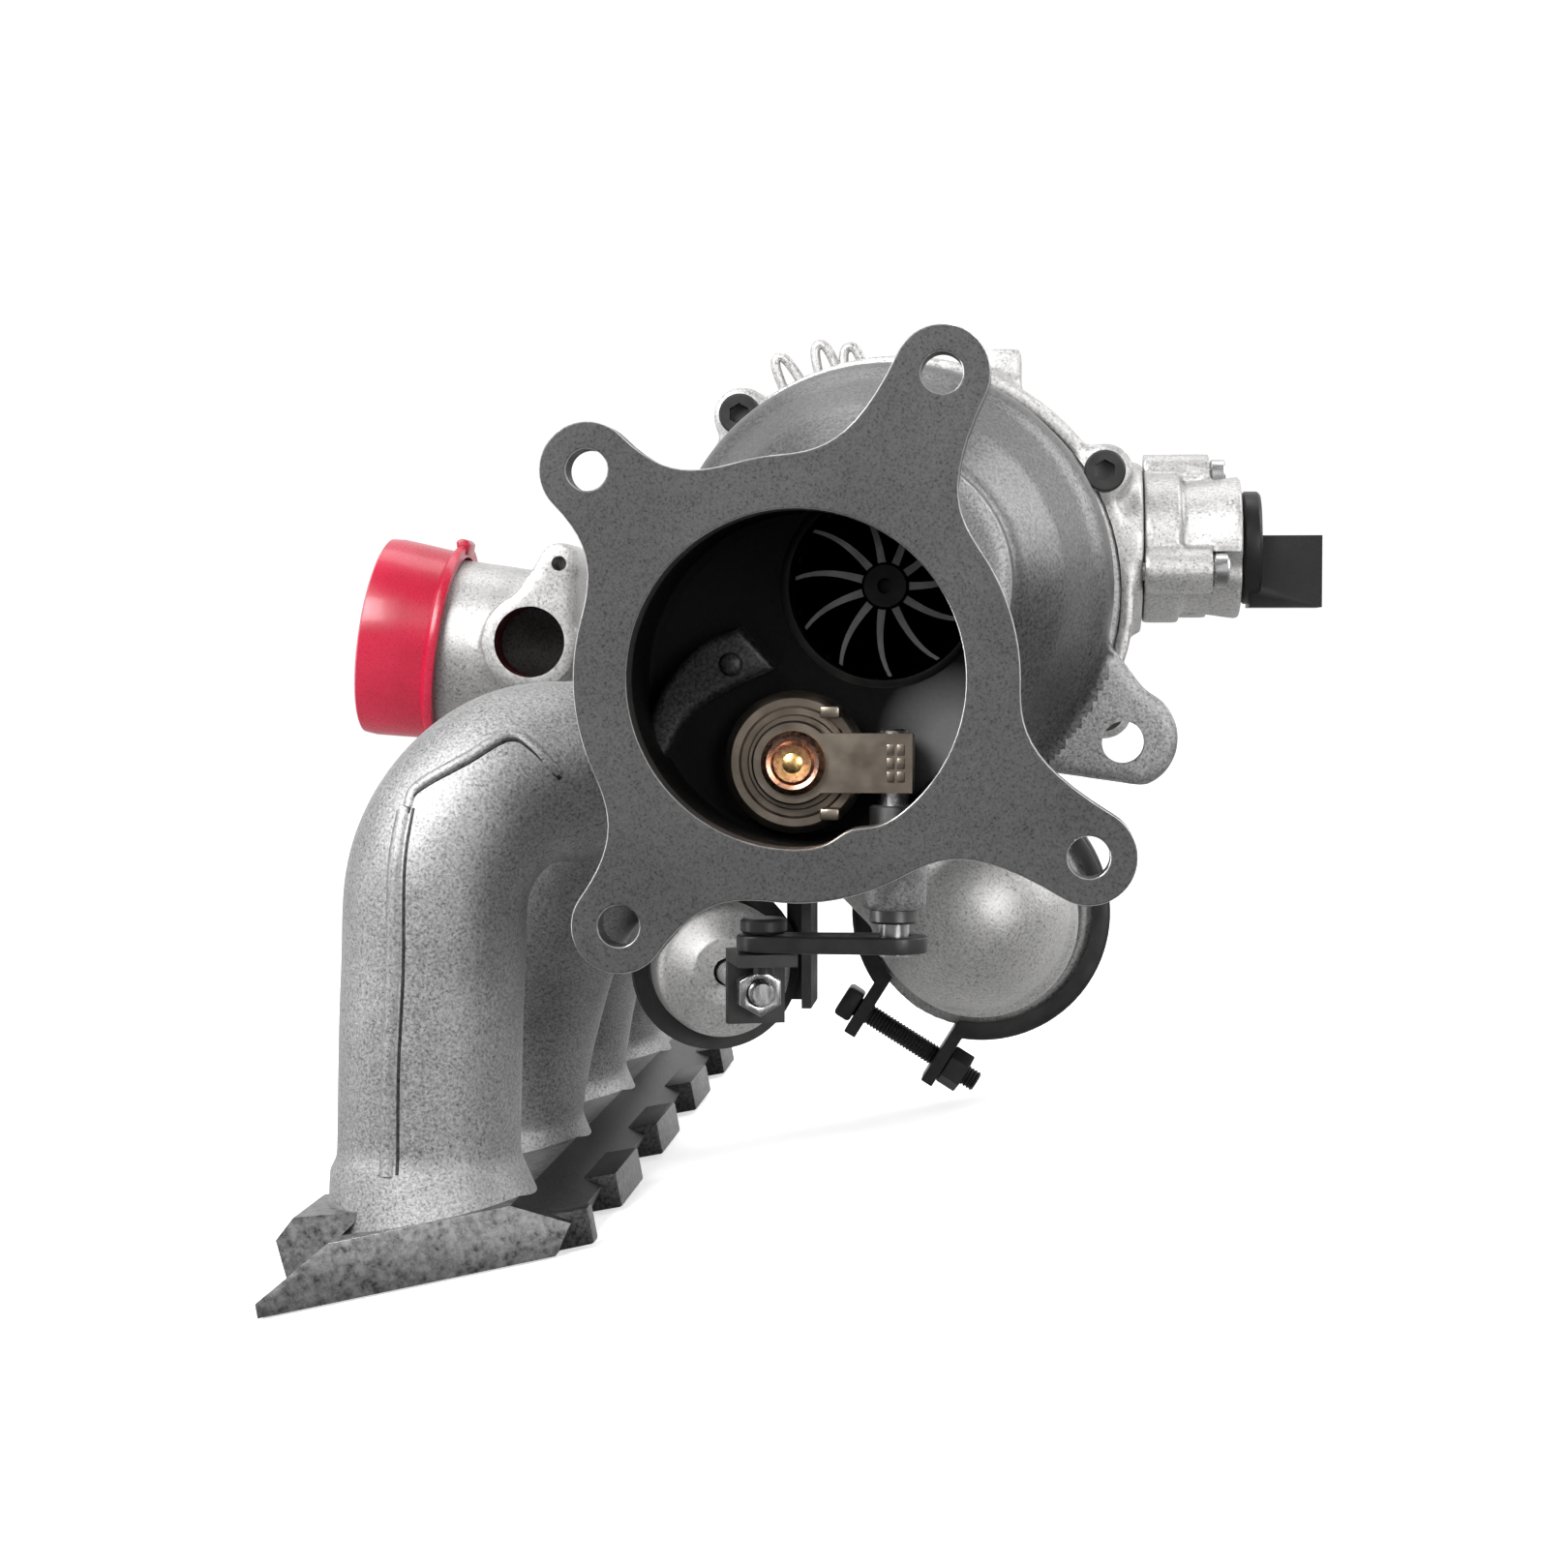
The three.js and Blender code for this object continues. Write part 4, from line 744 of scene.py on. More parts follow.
def tip_line(first, last, start, end):
    """The radius of a wheel's blade tips along its length, which runs from 0 to 1."""
    def tip(along):
        t = min(max((along - start) / (end - start), 0), 1)
        return first + (last - first) * t * t * (3 - 2 * t)
    return tip


def blade(front, back, root, tip, thickness, twist, turn, bow=0.0):
    """One thin blade: rows run along the axis, columns out from the hub, on both of its faces."""
    rows, columns = 14, 8
    verts, faces = [], []
    for side in (-1, 1):
        for i in range(rows + 1):
            along = i / rows
            for j in range(columns + 1):
                out = j / columns
                radius = root + (tip(along) - root) * out
                half = side * thickness * (1 - 0.55 * out) / 2
                angle = turn + twist * along ** 2 + bow * out ** 2 + half / radius
                y = front + (back - front) * along
                verts.append((radius * math.cos(angle), y, radius * math.sin(angle)))
    wide, face = columns + 1, (rows + 1) * (columns + 1)
    for i in range(rows):
        for j in range(columns):
            a = i * wide + j
            faces.append((a, a + 1, a + wide + 1, a + wide))
            faces.append((face + a, face + a + wide, face + a + wide + 1, face + a + 1))
    rim = [*range(columns), *[columns + i * wide for i in range(rows)],
           *[rows * wide + j for j in range(columns, 0, -1)], *[i * wide for i in range(rows, 0, -1)]]
    for k, a in enumerate(rim):
        b = rim[(k + 1) % len(rim)]
        faces.append((a, face + a, face + b, b))
    return mesh_of(verts, faces)


def turbine_wheel():
    front, back, hub = TURBINE["front"], TURBINE["back"], TURBINE["hub"]
    body = turned([
        (0, front + 9), (1.8, front + 9), (1.9, front - 1), (hub - 0.4, front - 1),
        (hub + 0.2, front - 0.4), (hub + 0.5, front + 8), (hub + 2.5, front + 13),
        (hub + 5, front + 16), (hub + 12, front + 20), (22, back - 1.5), (22, back), (0, back)])
    piece("turbine_wheel_hub", body, "wheel_alloy", ["turbine_wheel"], body="rotor")
    tip, count = tip_line(TURBINE["exducer"], TURBINE["inducer"], 0.5, 0.8), TURBINE["blades"]
    blades = [blade(front + 0.5, back - 1, 4.5, tip, 2.0, -0.7, 2 * math.pi * i / count, 0.2)
              for i in range(count)]
    obj = piece("turbine_wheel_blades", joined(blades), "wheel_alloy", body="rotor")
    # painted highlight: the blades' ends that face the outlet take a lighter metal
    second_look(obj, "painted_blade_highlight", normals_in(CORE, obj)[:, 1] < -0.7)
    rim = turned([(22.7, -0.6), (23.3, -0.6), (24.6, -0.2), (24.6, 1), (22.7, 1)])
    piece("turbine_shroud_rim", moved(rim, (0, CHAMBER_END, 0)), "wheel_alloy")


def compressor_wheel():
    front, back = COMPRESSOR["front"], COMPRESSOR["back"]
    exducer, bore = COMPRESSOR["exducer"], SHAFT_TAIL + GAP
    hub = turned([
        (bore, front), (exducer, front), (exducer, front + 1.6), (20, front + 4), (12, front + 10),
        (9, front + 17), (8, back), (bore, back)])
    tip = tip_line(exducer, COMPRESSOR["inducer"], 0.12, 0.62)
    blades = []
    for i in range(2 * COMPRESSOR["blades"]):
        end = back - 1 - (9 if i % 2 else 0)
        blades.append(blade(front + 1, end, 6, tip, 1.2, 0.9, math.pi * i / COMPRESSOR["blades"]))
    wheel = joined([hub, *blades])
    piece("compressor_wheel_body", wheel, "cast_aluminium", ["compressor_wheel"], body="rotor")


def nut_shape(across, hole, y0, height):
    """A hexagon nut along Y with rounded edges and a plain hole."""
    return moved(plate([hexagon(across), ring((0, 0), hole, 32)], height, 0.4), (0, y0, 0))


def threaded(radius, start, end, pitch=1.0):
    """A bar along Y with a shallow thread, as rings one pitch apart."""
    points = [(0, start), (radius - 0.5, start)]
    y = start + pitch
    while y < end - pitch / 2:
        points += [(radius, y), (radius - 0.45, y + pitch / 2)]
        y += pitch
    return turned([*points, (radius - 0.5, end), (0, end)], 32)


# ---- bearing housing and joint

OIL = {"y": 112, "top": 41, "bottom": -42}
PLATE_BACK = {"front": 124, "thickness": 4, "radius": 58}


def bearing_housing():
    flange, end = JOINT_Y + GAP, PLATE_BACK["front"] - GAP
    body = turned([
        (9.6, 88), (30, 88), (32, flange), (44, flange), (44, flange + 3), (33, flange + 3),
        (27.5, 104), (26, 108), (26, 114), (27, 118), (38, 120), (38, end), (15, end), (15, 115.5),
        (8, 115.5), (8, 92), (9.6, 92)])
    oil = (0, OIL["y"])
    shell = machined([body, post(8, 20, OIL["top"], oil), post(8.5, OIL["bottom"], -20, oil)],
                     [post(3, 5, 45, oil), post(5.5, -45, -5, oil)])
    piece("bearing_housing_body", shell, "cast_iron", ["bearing_housing"], bevel_mm=0.5)
    band = turned([
        (44.3, -3.6), (39.5, -3.6), (39.5, -4.6), (45.2, -4.7), (46, -4), (46, 4.2), (45.2, 4.9),
        (35, 4.9), (35, 3.9), (44.3, 3.9)])
    piece("clamp_band_ring", moved(band, (0, JOINT_Y, 0)), "machined_steel", ["housing_clamp_band"])
    front, radius = PLATE_BACK["front"], PLATE_BACK["radius"]
    back, hub = front + PLATE_BACK["thickness"], COMPRESSOR["front"] - 0.7
    disc = turned([
        (7, front), (radius - 0.5, front), (radius, front + 0.5), (radius, back), (34, back), (33, hub),
        (7, hub)])
    piece("backplate_disc", disc, "cast_aluminium", ["compressor_backplate"])


def oil_fittings():
    oil = (0, OIL["y"])
    foot = OIL["top"] + GAP
    hexagonal = moved(plate([hexagon(15)], 7, 0.5, upright=False), (*oil, foot))
    union = machined([hexagonal, post(5, foot, foot + 15, oil, chamfer=0.8)],
                     [post(2, foot - 2, foot + 18, oil)])
    piece("oil_union_body", union, "machined_steel", ["oil_feed_union"])
    top = OIL["bottom"] - GAP
    outline = [*arc((15, 0), 6, -70, 70), *arc((-15, 0), 6, 110, 250)]
    flat = moved(plate([outline], 6, 0.5, upright=False), (*oil, top - 6))
    drain = machined([flat, post(8, top - 16, top - 3, oil, chamfer=0.8)],
                     [post(5.5, top - 20, top + 2, oil)])
    piece("oil_drain_body", drain, "machined_steel", ["oil_drain_flange"])


# ---- compressor cover

COVER_FACE = 128.3
PLATE_SEAT = 58.3  # radius inside the rim, where the backplate sits
SCROLL = {"y": 143, "ring": 46, "section": 16}
ELBOW = {"centre": (18.5, 146, -86), "radius": 27, "duct": 22}
SPIGOT = {"joint": 177, "radius": 24, "length": 28}
BAND = {"radius": 36, "angle": 238, "gap": 11, "ear": 17, "thick": 3.5, "half": 7}
DUCT_PATH = [(-14, 144, -53.5), (2, 145, -69.5), ELBOW["centre"]]
INLET = {"outer": 25.5, "bore": 21.5, "neck": 34}
INLET_PATH = [(0, 152, 0), (0, 174, 0), (-14, 197, -4), (-52, 209, -13), (-92, 205, -19),
              (-128, 200, -15.1)]
MOUTH = Matrix.Translation((-152, 200, -11.5)) @ Matrix.Rotation(math.radians(8.5), 4, "Y")
BREATHER = {"face": 168, "bore": 10}
VALVE = {"start": 64, "end": 90, "radius": 20, "bore": 12}
COVER_BOLTS = [polar(62, angle) for angle in (30, 131.8, 243, 330)]  # x, z
BRACKET_BOLT = 2
BOLT_SEAT = 122.2
RIB_PLACES = ((-28.6, 54.7, 11), (-19.5, 59.2, 10), (-12, 57.1, 7.5))  # x, z, height


def valve_screws():
    spots = [polar(VALVE["radius"] - 0.5, angle) for angle in (80, 200, 320)]
    return [(VALVE_AXIS[0] + u, VALVE_AXIS[1] + v) for u, v in spots]


def cover_solids():
    x, z = BREATHER_AXIS
    face, rim, joint = BREATHER["face"], COVER_FACE, SPIGOT["joint"]
    bridge = [*arc(BREATHER_LOBE, 5.6, 20, 150, 8), (x - 11, z + 4), (x + 13, z + 4)]
    return [
        turned([(0, rim), (61, rim), (62, rim + 6), (60, 143), (50, 158), (30, 161), (0, 161)]),
        turned([(PLATE_SEAT, 123), (61.4, 123), (62, 123.6), (62, rim + 1), (PLATE_SEAT, rim + 1)]),
        torus(SCROLL["ring"], SCROLL["y"], SCROLL["section"]),
        *[rod(7.7, 122.5, rim + 12, bolt, chamfer=0.8) for bolt in COVER_BOLTS],
        tube(DUCT_PATH, ELBOW["duct"]),
        ball(ELBOW["radius"], ELBOW["centre"]),
        rod(ELBOW["radius"], ELBOW["centre"][1], joint, SPIGOT_AXIS),
        rod(BAND["radius"] - 3, joint - 4, joint, SPIGOT_AXIS),
        tube(INLET_PATH, INLET["outer"]),
        changed(spindle(INLET["outer"], 0, INLET["neck"], (0, 0), 96, 0.8), MOUTH),
        rod(14, face, 195, BREATHER_AXIS, chamfer=0.6),
        rod(6, face, 192, BREATHER_LOBE, chamfer=0.6),
        moved(plate([bridge], 20, 0.6), (0, face, 0)),
        spindle(VALVE["radius"] + 3, 36, VALVE["start"], VALVE_AXIS, 96),
        block((22, rim + 1, 40), (32, rim + 12, 64)),  # a cast lug on the rim
    ]


def cover_ribs():
    """Three thin cast loops that stand up from the cover's rim."""
    ribs = []
    for x, z, height in RIB_PLACES:
        out = Vector((x, 0, z)).normalized()
        across = Vector((out.z, 0, -out.x)) * 3
        foot = out * 58 + Vector((0, 133, 0))
        top = foot + out * height
        bend = [foot - across, top - across * 0.5, top + across * 0.5, foot + across]
        ribs.append(tube(bend, 1.3, 16, 6))
    piece("cover_rim_loops", joined(ribs), "cast_aluminium")


def ball(radius, centre):
    half = [(radius * math.sin(math.pi * i / 32), -radius * math.cos(math.pi * i / 32)) for i in range(33)]
    half[0], half[-1] = (0, -radius), (0, radius)
    return moved(turned(half, 64), centre)


def cover_cuts():
    start, joint, face = VALVE["start"], SPIGOT["joint"], BREATHER["face"]
    return [
        rod(PLATE_SEAT, 100, COVER_FACE),
        rod(42, joint, joint + 20, SPIGOT_AXIS),
        turned([(0, 120), (33, 120), (33, 137), (23.7, 150), (23.7, 163), (0, 163)]),  # round the wheel
        rod(20, ELBOW["centre"][1], joint + 1, SPIGOT_AXIS),
        tube(INLET_PATH, INLET["bore"]),
        changed(spindle(INLET["bore"], -1, INLET["neck"], (0, 0), 96), MOUTH),
        rod(BREATHER["bore"], face - 1, 205, BREATHER_AXIS),
        rod(2.1, face - 1, face + 12, BREATHER_LOBE),
        *[rod(3.2, 121, COVER_FACE + 10, bolt) for bolt in COVER_BOLTS],
        *[spindle(2.8, start - 7, start + 1, screw) for screw in valve_screws()],
        spindle(VALVE["bore"], 40, start + 1, VALVE_AXIS),
    ]


def compressor_cover():
    shell = cast(cover_solids(), cover_cuts(), 1.3, 6)
    body = piece("compressor_cover_casting", shell, "cast_aluminium", COVER_NODES)
    core = centres_in(CORE, body)
    depth = core[:, 1] - BREATHER["face"]
    inside = off_axis(core, BREATHER_AXIS) < BREATHER["bore"] + 0.4
    second_look(body, "breather_shade", inside & (depth > 1) & (depth < 34))
    cover_ribs()


def cover_bolts():
    for i, (x, z) in enumerate(COVER_BOLTS):
        seat = BOLT_SEAT - (2.8 if i == BRACKET_BOLT else 0)
        head = turned([(0, seat - 6), (4.9, seat - 6), (5.4, seat - 5.5), (5.4, seat), (0, seat)], 48)
        socket = moved(plate([hexagon(5)], 4, 0.05), (0, seat - 7, 0))
        bolt = moved(machined([head, rod(2.9, seat - 1, seat + 12.5)], [socket]), (x, 0, z))
        piece(f"cover_bolt_{i + 1}_body", bolt, "black_steel", [f"cover_bolt_{i + 1}"])


def outlet_spigot():
    start = SPIGOT["joint"] + GAP
    r, end = SPIGOT["radius"], start + SPIGOT["length"]
    pipe = turned([
        (20, start), (33, start), (33, start + 4), (r, start + 5), (r, end - 6), (r + 1.8, end - 4),
        (r + 1.2, end), (20, end)])
    x, z = SPIGOT_AXIS
    piece("discharge_spigot_body", moved(pipe, (x, 0, z)), "cast_aluminium", ["discharge_spigot"])


def discharge_clamp():
    place = CORE @ Matrix.Translation((SPIGOT_AXIS[0], SPIGOT["joint"] + GAP / 2, SPIGOT_AXIS[1]))
    place = place @ Matrix.Rotation(-math.radians(BAND["angle"] + 90), 4, "Y")
    r, gap, thick, half = BAND["radius"], BAND["gap"], BAND["thick"], BAND["half"]
    channel = turned([
        (r - 2.4, -5.4), (r - 5, -5.8), (r - 5, -8), (r - 0.8, -7.7), (r, -7), (r, 7), (r - 0.8, 7.7),
        (r - 5, 8), (r - 5, 5.8), (r - 2.4, 5.4)])
    split = machined([channel], [block((-gap, -10, -r - 4), (gap, 10, 0))])
    ears = [block((min(s * gap, s * (gap + thick)), -half, -r - BAND["ear"] + 4),
                  (max(s * gap, s * (gap + thick)), half, 4 - r)) for s in (-1, 1)]
    z = -r - 6
    band = machined([split, *ears], [spindle(3.4, -20, 20, (0, z))])
    piece("discharge_band_strap", band, "black_steel", ["discharge_band"], place, bevel_mm=0.8)
    face = gap + thick + GAP
    head = block((-face - 5, -5.5, z - 4.5), (-face, 5.5, z + 4.5))
    piece("band_bolt_head", head, "black_steel", ["band_tee_bolt"], place, bevel_mm=1)
    thread = laid(threaded(3, -face - 1, face + 10), (0, z))
    piece("band_bolt_thread", thread, "black_steel", place=place)
    nut = laid(nut_shape(10, 3.3, face, 6), (0, z))
    piece("band_nut_body", nut, "black_steel", ["band_nut"], place)


def inlet_cap():
    wall = turned([
        (0, -4), (27.5, -4), (28.5, -3.4), (28.8, 0), (28.2, 8), (27.6, 15.4), (29.4, 16.6),
        (29.7, 17.6), (29.4, 19), (26.4, 19), (26.4, -1.6), (0, -1.6)])
    tab = moved(plate([[(16.5, 27), *arc((17.6, 29), 2.4, 150, 30), (19.5, 27)]], 9, 0.6), (0, -4.5, 0))
    place = CORE @ MOUTH
    piece("inlet_cap_cup", laid(wall), "red_plastic", ["inlet_cap"], place, "cap")
    piece("inlet_cap_tab", tab, "red_plastic", (), place, "cap")


def diverter_valve():
    start, end, r = VALVE["start"], VALVE["end"], VALVE["radius"]
    foot, seat, screws = start + GAP, end - 8, valve_screws()
    cone = turned([(0, start + 8), (r - 3.5, start + 8), (r - 1, end - 0.5), (r - 1.6, end), (0, end)])
    solids = [spindle(r, foot, start + 10, VALVE_AXIS, 96), laid(cone, VALVE_AXIS),
              *[spindle(6, foot, seat, screw) for screw in screws]]
    cuts = [spindle(VALVE["bore"], start - 1, end - 3, VALVE_AXIS),
            *[spindle(2.8, start - 1, end, screw) for screw in screws],
            *[spindle(5.2, seat, end + 1, screw) for screw in screws]]
    shell = cast(solids, cuts, 0.7, 8)
    piece("diverter_valve_casting", shell, "cast_aluminium", ["diverter_valve_body"])
    head = seat + GAP
    for i, screw in enumerate(screws):
        body = machined([spindle(4.6, head, head + 4, screw, chamfer=0.5),
                         spindle(2.5, head - 24, head + 1, screw)])
        piece(f"diverter_screw_{i + 1}_body", body, "machined_steel", [f"diverter_screw_{i + 1}"])
    solenoid()


def solenoid():
    y, z = VALVE_AXIS
    start = VALVE["end"] + GAP
    head = spindle(15, start, start + 5, VALVE_AXIS, 96, 0.8)
    tab = block((start, y - 5, z), (start + 5, y + 5, z + 11.5))
    socket = block((start + 2, y - 8.5, z - 16), (start + 21, y + 8.5, z + 3))
    opening = block((start + 8, y - 6.5, z - 14), (start + 22, y + 6.5, z + 1))
    body = machined([head, tab, socket], [opening])
    piece("solenoid_body", body, "black_plastic", ["diverter_solenoid"], bevel_mm=0.8, sharp=20)
    pins = [block((start + 7.5, v - 0.4, z - 8), (start + 15, v + 0.4, z - 5)) for v in (y - 3, y + 3)]
    piece("solenoid_pins", joined(pins), "machined_steel")


# ---- wastegate

ARM = {"front": 38, "back": 42.4, "low": -49, "high": -35}
FLAP_DISC = {"radius": 17, "seat": 47.2}
LEVER = {"z": -87, "thickness": 4, "length": 31}
PIN = (GATE[0] - LEVER["length"], GATE[1])


def wastegate():
    bush = machined([post(5.8, -80, -52, GATE, chamfer=0.5)], [post(3.66, -90, -40, GATE)])
    piece("wastegate_bush_body", bush, "dull_steel", ["wastegate_bush"])
    front, back, low, high = ARM["front"], ARM["back"], ARM["low"], ARM["high"]
    x, y = GATE
    arm = machined([rod(10, front, back, FLAP, chamfer=0.5),
                    block((FLAP[0] + 4, front, low), (x + 4.5, back, high)),
                    block((x - 2, front + 1, low), (x + 4.5, y, high)),
                    post(4.9, low, high, GATE, chamfer=0.5)], [rod(4.3, front - 5, back + 5, FLAP)])
    piece("wastegate_arm_forging", arm, "heat_tinted", ["wastegate_arm"], body="wastegate", bevel_mm=0.5)
    shaft = post(3.6, LEVER["z"] - 1, high + 1, GATE, chamfer=0.4)
    piece("wastegate_shaft", shaft, "machined_steel", body="wastegate")
    spots = [(x - 1.5 + 2.4 * i, low + 2.5 + 3.2 * j) for i in range(2) for j in range(3)]
    marks = [block((u, front - 0.25, v), (u + 1.8, front + 0.2, v + 2.5)) for u, v in spots]
    piece("wastegate_arm_marks", joined(marks), "heat_tinted", body="wastegate", bevel_mm=0.15)
    flap()
    lever()


def flap():
    """The flap's disc with its stem and two tabs, and the rivet that holds it in the arm."""
    front, face = ARM["front"], ARM["back"] + GAP
    r, seat = FLAP_DISC["radius"], FLAP_DISC["seat"]
    place = (FLAP[0], 0, FLAP[1])
    disc = turned([
        (0, seat), (r - 1, seat), (r, seat - 1.2), (r, seat - 2.6), (r - 1.2, face + 0.4),
        (r - 1.8, face), (r - 3.6, face), (r - 4.2, face + 0.6), (11.4, face + 0.6), (11, face),
        (0, face)])
    disc = moved(machined([disc, rod(4, front - 3, seat - 1)]), place)
    piece("wastegate_flap_disc", disc, "heat_tinted", ["wastegate_flap"], body="wastegate")
    tabs = joined([block((6.5, front - 3, z - 1.4), (11, seat - 1, z + 1.4)) for z in (-12, 12)])
    piece("wastegate_flap_tabs", moved(tabs, place), "heat_tinted", body="wastegate", bevel_mm=0.5)
    head = turned([
        (0, -0.3), (7.6, -0.3), (7.6, -1.4), (7.2, -2), (6.2, -2.9), (5.2, -2.6), (4.4, -3.3),
        (2.4, -3.0), (1.2, -3.6), (0, -3.6)])
    head = moved(head, (FLAP[0], front, FLAP[1]))
    piece("wastegate_rivet_head", head, "copper_rivet", ["wastegate_rivet"], body="wastegate")


def lever():
    z, thick = LEVER["z"], LEVER["thickness"]
    outline = [*arc(GATE, 8, -90, 90, 24), *arc(PIN, 6.5, 90, 270, 20)]
    flat = plate([outline, ring(GATE, 3.9, 32), ring(PIN, 2.8, 32)], thick, 0.5, upright=False)
    flat = moved(flat, (0, 0, z))
    piece("wastegate_lever_plate", flat, "black_steel", ["wastegate_lever"], body="wastegate")
    pin = machined([post(5.6, z + thick + GAP, z + 8, PIN, chamfer=0.7), post(2.5, z - 5.4, z + 6, PIN)])
    piece("lever_pin_body", pin, "black_steel", ["lever_pin"], body="wastegate")


# ---- actuator

ROD_LEAN = math.radians(15.6)
ROD = {"z": -97.5, "radius": 3, "plate_y": 10}
CAN = {"front": 52, "length": 40, "radius": 20}
ACTUATOR = CORE @ Matrix.Translation((*PIN, 0)) @ Matrix.Rotation(ROD_LEAN, 4, "Z")
ON_ROD = ACTUATOR @ Matrix.Translation((0, 0, ROD["z"]))


def actuator():
    y, z, top, stem = ROD["plate_y"], ROD["z"], LEVER["z"] - GAP, "actuator_stem"
    angle = machined([block((-7, -6.5, top - 3), (7, y + 3, top)), block((-7, y, z - 8), (7, y + 3, top))],
                     [post(4, top - 5, top + 2, (0, 0)), rod(3.3, 0, 20, (0, z))])
    piece("rod_end_angle", angle, "black_steel", ["rod_end_bracket"], ACTUATOR, stem, bevel_mm=0.5)
    end_nut, lock_nut = nut_shape(10, 3.2, y - 5.8, 5.5), nut_shape(10, 3.2, y + 3 + GAP, 5)
    piece("rod_end_nut_body", end_nut, "machined_steel", ["rod_end_nut"], ON_ROD, stem)
    piece("rod_lock_nut_body", lock_nut, "machined_steel", ["rod_lock_nut"], ON_ROD, stem)
    piston = CAN["front"] + 28
    bar = machined([threaded(3, 1, y + 14), rod(ROD["radius"], y + 13, piston - GAP, chamfer=0.3)])
    piece("actuator_rod_bar", bar, "machined_steel", ["actuator_rod"], ON_ROD, stem)
    actuator_can()
    actuator_bracket()


def actuator_can():
    """Two thin pressings, rolled together at a rim, and the hose nipple on the rear one."""
    r, length = CAN["radius"], CAN["length"]
    along = ON_ROD @ Matrix.Translation((0, CAN["front"], 0))
    shell = turned([
        (3.6, 0), (8.4, 0), (9.3, 0.3), (11, 2), (15, 3), (17, 5), (17.5, 7), (17.5, 16.4), (18.2, 17),
        (r + 2, 17), (r + 2, 18.2), (16.3, 18.2), (16.3, 7.6), (14.3, 4.2), (10.4, 3.2), (8.4, 1.2),
        (3.6, 1.2)])
    shell = piece("actuator_front_pressing", shell, "cast_aluminium", ["actuator_front_shell"], along)
    second_look(shell, "black_steel", off_axis(centres_in(ON_ROD, shell), (0, 0)) > 17.6)
    rear = turned([
        (0, length), (14, length), (16.8, length - 1.4), (18, length - 4), (18.6, 20), (19.2, 19.6),
        (r + 2, 19.6), (r + 2.3, 19), (r + 2, 18.5), (17, 18.5), (16.8, length - 4.6),
        (13.4, length - 1.4), (0, length - 1.4)])
    piece("actuator_rear_pressing", rear, "black_steel", ["actuator_rear_shell"], along)
    nipple = turned([(0, GAP), (5, GAP), (5, 3), (2.6, 4), (2.6, 9), (3.4, 11), (2.2, 15), (0, 15)], 48)
    nipple = moved(nipple, (0, length, 0))
    piece("hose_nipple_body", nipple, "machined_steel", ["actuator_hose_nipple"], along)


def actuator_bracket():
    x, z = COVER_BOLTS[BRACKET_BOLT]
    left, right, bottom = x - 7, x + 7, ROD["z"] - 10
    outline = [(left, z + 7), (right, z + 7), (right, bottom), (right - 8, bottom),
               (right - 8, bottom + 30), (left, z - 9)]
    upright = moved(plate([outline, ring((x, z), 3.2)], 2.5, 0.3), (0, BOLT_SEAT - 2.5, 0))
    wing = block((right - 2.5, CAN["front"] + 48, bottom), (right, BOLT_SEAT - 0.2, bottom + 30))
    piece("actuator_bracket_body", machined([upright, wing]), "black_steel", ["actuator_bracket"])


# ---- the whole object and its studio

INNER_LOOKS = {
    "machined_steel": ("rotor_shaft", "thrust_collar", "compressor_nut", "actuator_spring",
                       "diverter_spring"),
    "bronze": ("turbine_bearing", "compressor_bearing", "thrust_bearing"),
    "heat_tinted": ("heat_shield",),
    "black_plastic": ("actuator_piston", "diverter_piston"),
}
MIDDLE = Vector((0.1, 0, 0.08))  # what the lights point at, in metres
LIGHTS = (  # name, place, size in metres, watts
    ("key", (-0.6, -0.6, 1.2), (0.8, 0.8), 10),
    ("top", (0.3, 0.4, 1.5), (1.2, 0.5), 5),
    ("front", (-0.3, -1.0, 0.88), (0.6, 0.6), 17),
    ("low_fill", (0.75, -0.95, 0.2), (0.4, 0.4), 5),
    ("left_strip", (-1.1, -0.3, 0.35), (0.18, 1.0), 3),
    ("right_strip", (1.2, 0.2, 0.6), (0.25, 1.0), 6),
)
VIEW = {"from": (38.5, -660, -16.2), "left": 5.012, "down": 2.513, "lens": 68.35}


def frame_finishes():
    """The CAD nodes that stay in view, deep inside or behind other pieces, take the same materials."""
    for look, nodes in INNER_LOOKS.items():
        for name in nodes:
            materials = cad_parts[name].data.materials
            materials.clear()
            materials.append(LOOKS[look])


def lights():
    for name, place, size, power in LIGHTS:
        light = bpy.data.lights.new(name, "AREA")
        light.shape = "RECTANGLE"
        light.size, light.size_y = size
        light.energy = power
        obj = shown(name, light)
        obj.location = place
        obj.rotation_euler = (MIDDLE - Vector(place)).to_track_quat("-Z", "Y").to_euler()


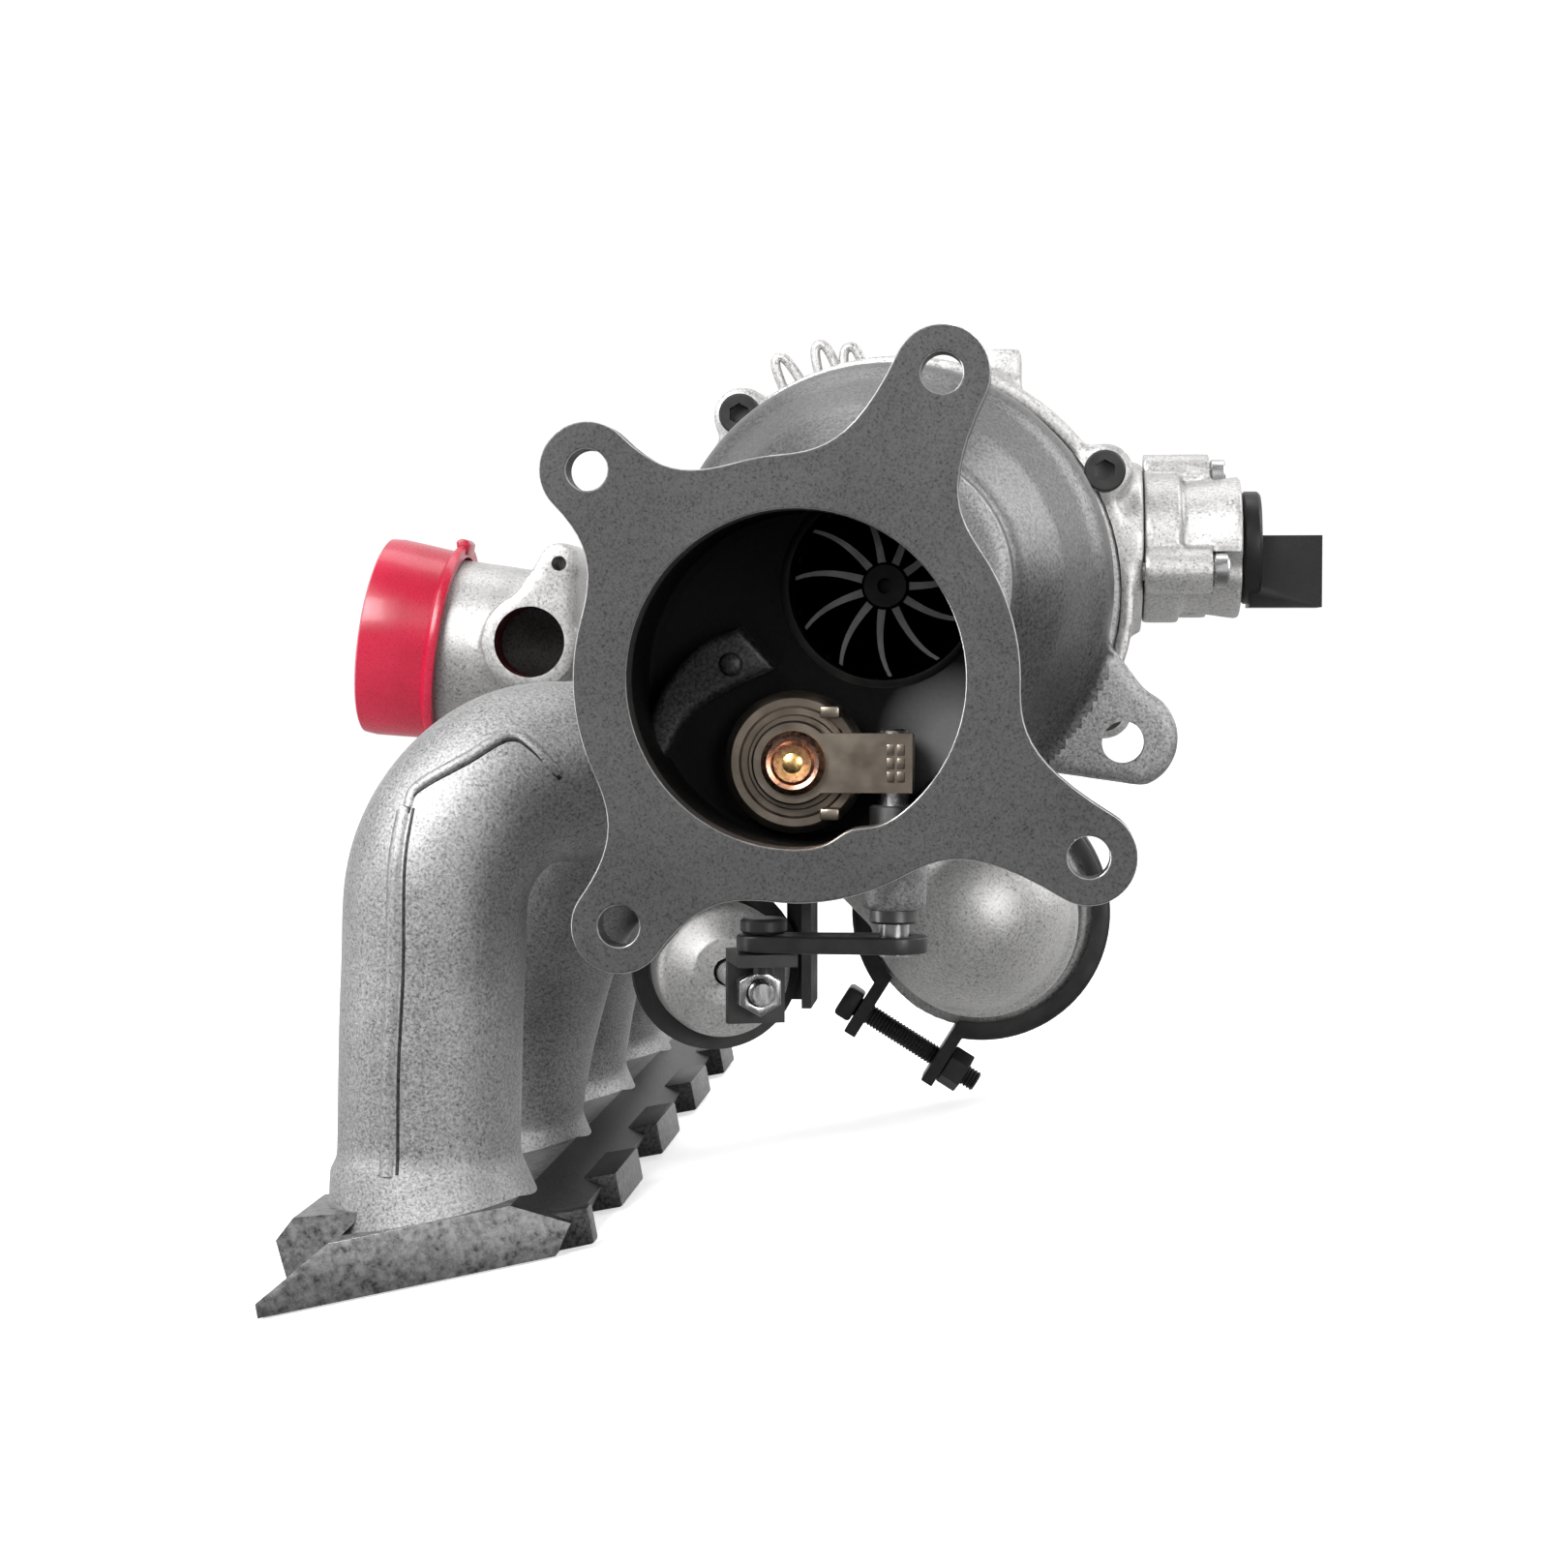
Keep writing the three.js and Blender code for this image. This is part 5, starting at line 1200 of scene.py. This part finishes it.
def floor():
    """A pale floor that glows a little, so that it runs into the backdrop without an edge."""
    corners = [(-20, -20), (20, -20), (20, 20), (-20, 20)]
    ground = shown("floor", plate([corners], 0.01, 0.001, upright=False))
    ground.location.z = -0.0105
    ground.visible_glossy = False
    n = Nodes("floor")
    color = n.ramp(n.noise(3, 2), [(0.3, grey(0.86)), (0.7, grey(0.9))])
    n.shader.inputs["Emission Color"].default_value = (1, 1, 1, 1)
    ground.data.materials.append(n.finish(color, 0.85, 0.0, Emission_Strength=0.62))


def sky():
    """A studio room: white behind the object, dim behind the viewer of its turbine side and below."""
    world = bpy.data.worlds.new("studio")
    bpy.context.scene.world = world
    world.use_nodes = True
    tree = world.node_tree
    apart = tree.nodes.new("ShaderNodeSeparateXYZ")
    tree.links.new(tree.nodes.new("ShaderNodeTexCoord").outputs["Generated"], apart.inputs[0])
    product = tree.nodes.new("ShaderNodeMath")
    product.operation = "MULTIPLY"
    for i, (axis, *span) in enumerate((("Y", -0.5, 0.85, 0.27, 1.05), ("Z", -0.3, 0.0, 0.45, 1.0))):
        node = tree.nodes.new("ShaderNodeMapRange")
        for key, value in zip(("From Min", "From Max", "To Min", "To Max"), span):
            node.inputs[key].default_value = value
        tree.links.new(apart.outputs[axis], node.inputs["Value"])
        tree.links.new(node.outputs["Result"], product.inputs[i])
    tree.links.new(product.outputs[0], tree.nodes["Background"].inputs["Color"])


def camera():
    a, b = math.radians(VIEW["left"]), math.radians(VIEW["down"])
    forward = Vector((-math.sin(a) * math.cos(b), math.cos(a) * math.cos(b), -math.sin(b)))
    right = Vector((math.cos(a), math.sin(a), 0))
    up = right.cross(forward)
    turn = Matrix((right, up, -forward)).transposed().to_4x4()
    lens = bpy.data.cameras.new("camera")
    lens.lens = VIEW["lens"]
    lens.sensor_width = 36
    lens.clip_start = 0.01
    obj = shown("camera", lens)
    place = CORE @ Matrix.Translation(VIEW["from"])
    obj.matrix_world = Matrix.Translation(place.translation) @ (Matrix.Rotation(CLOCKING, 4, "Y") @ turn)
    bpy.context.scene.camera = obj


turbine_housing()
turbine_wheel()
compressor_wheel()
bearing_housing()
oil_fittings()
compressor_cover()
cover_bolts()
outlet_spigot()
discharge_clamp()
inlet_cap()
diverter_valve()
wastegate()
actuator()
frame_finishes()
floor()
lights()
sky()
camera()
bpy.context.scene.view_settings.view_transform = "Standard"
bpy.context.scene.view_settings.look = "None"
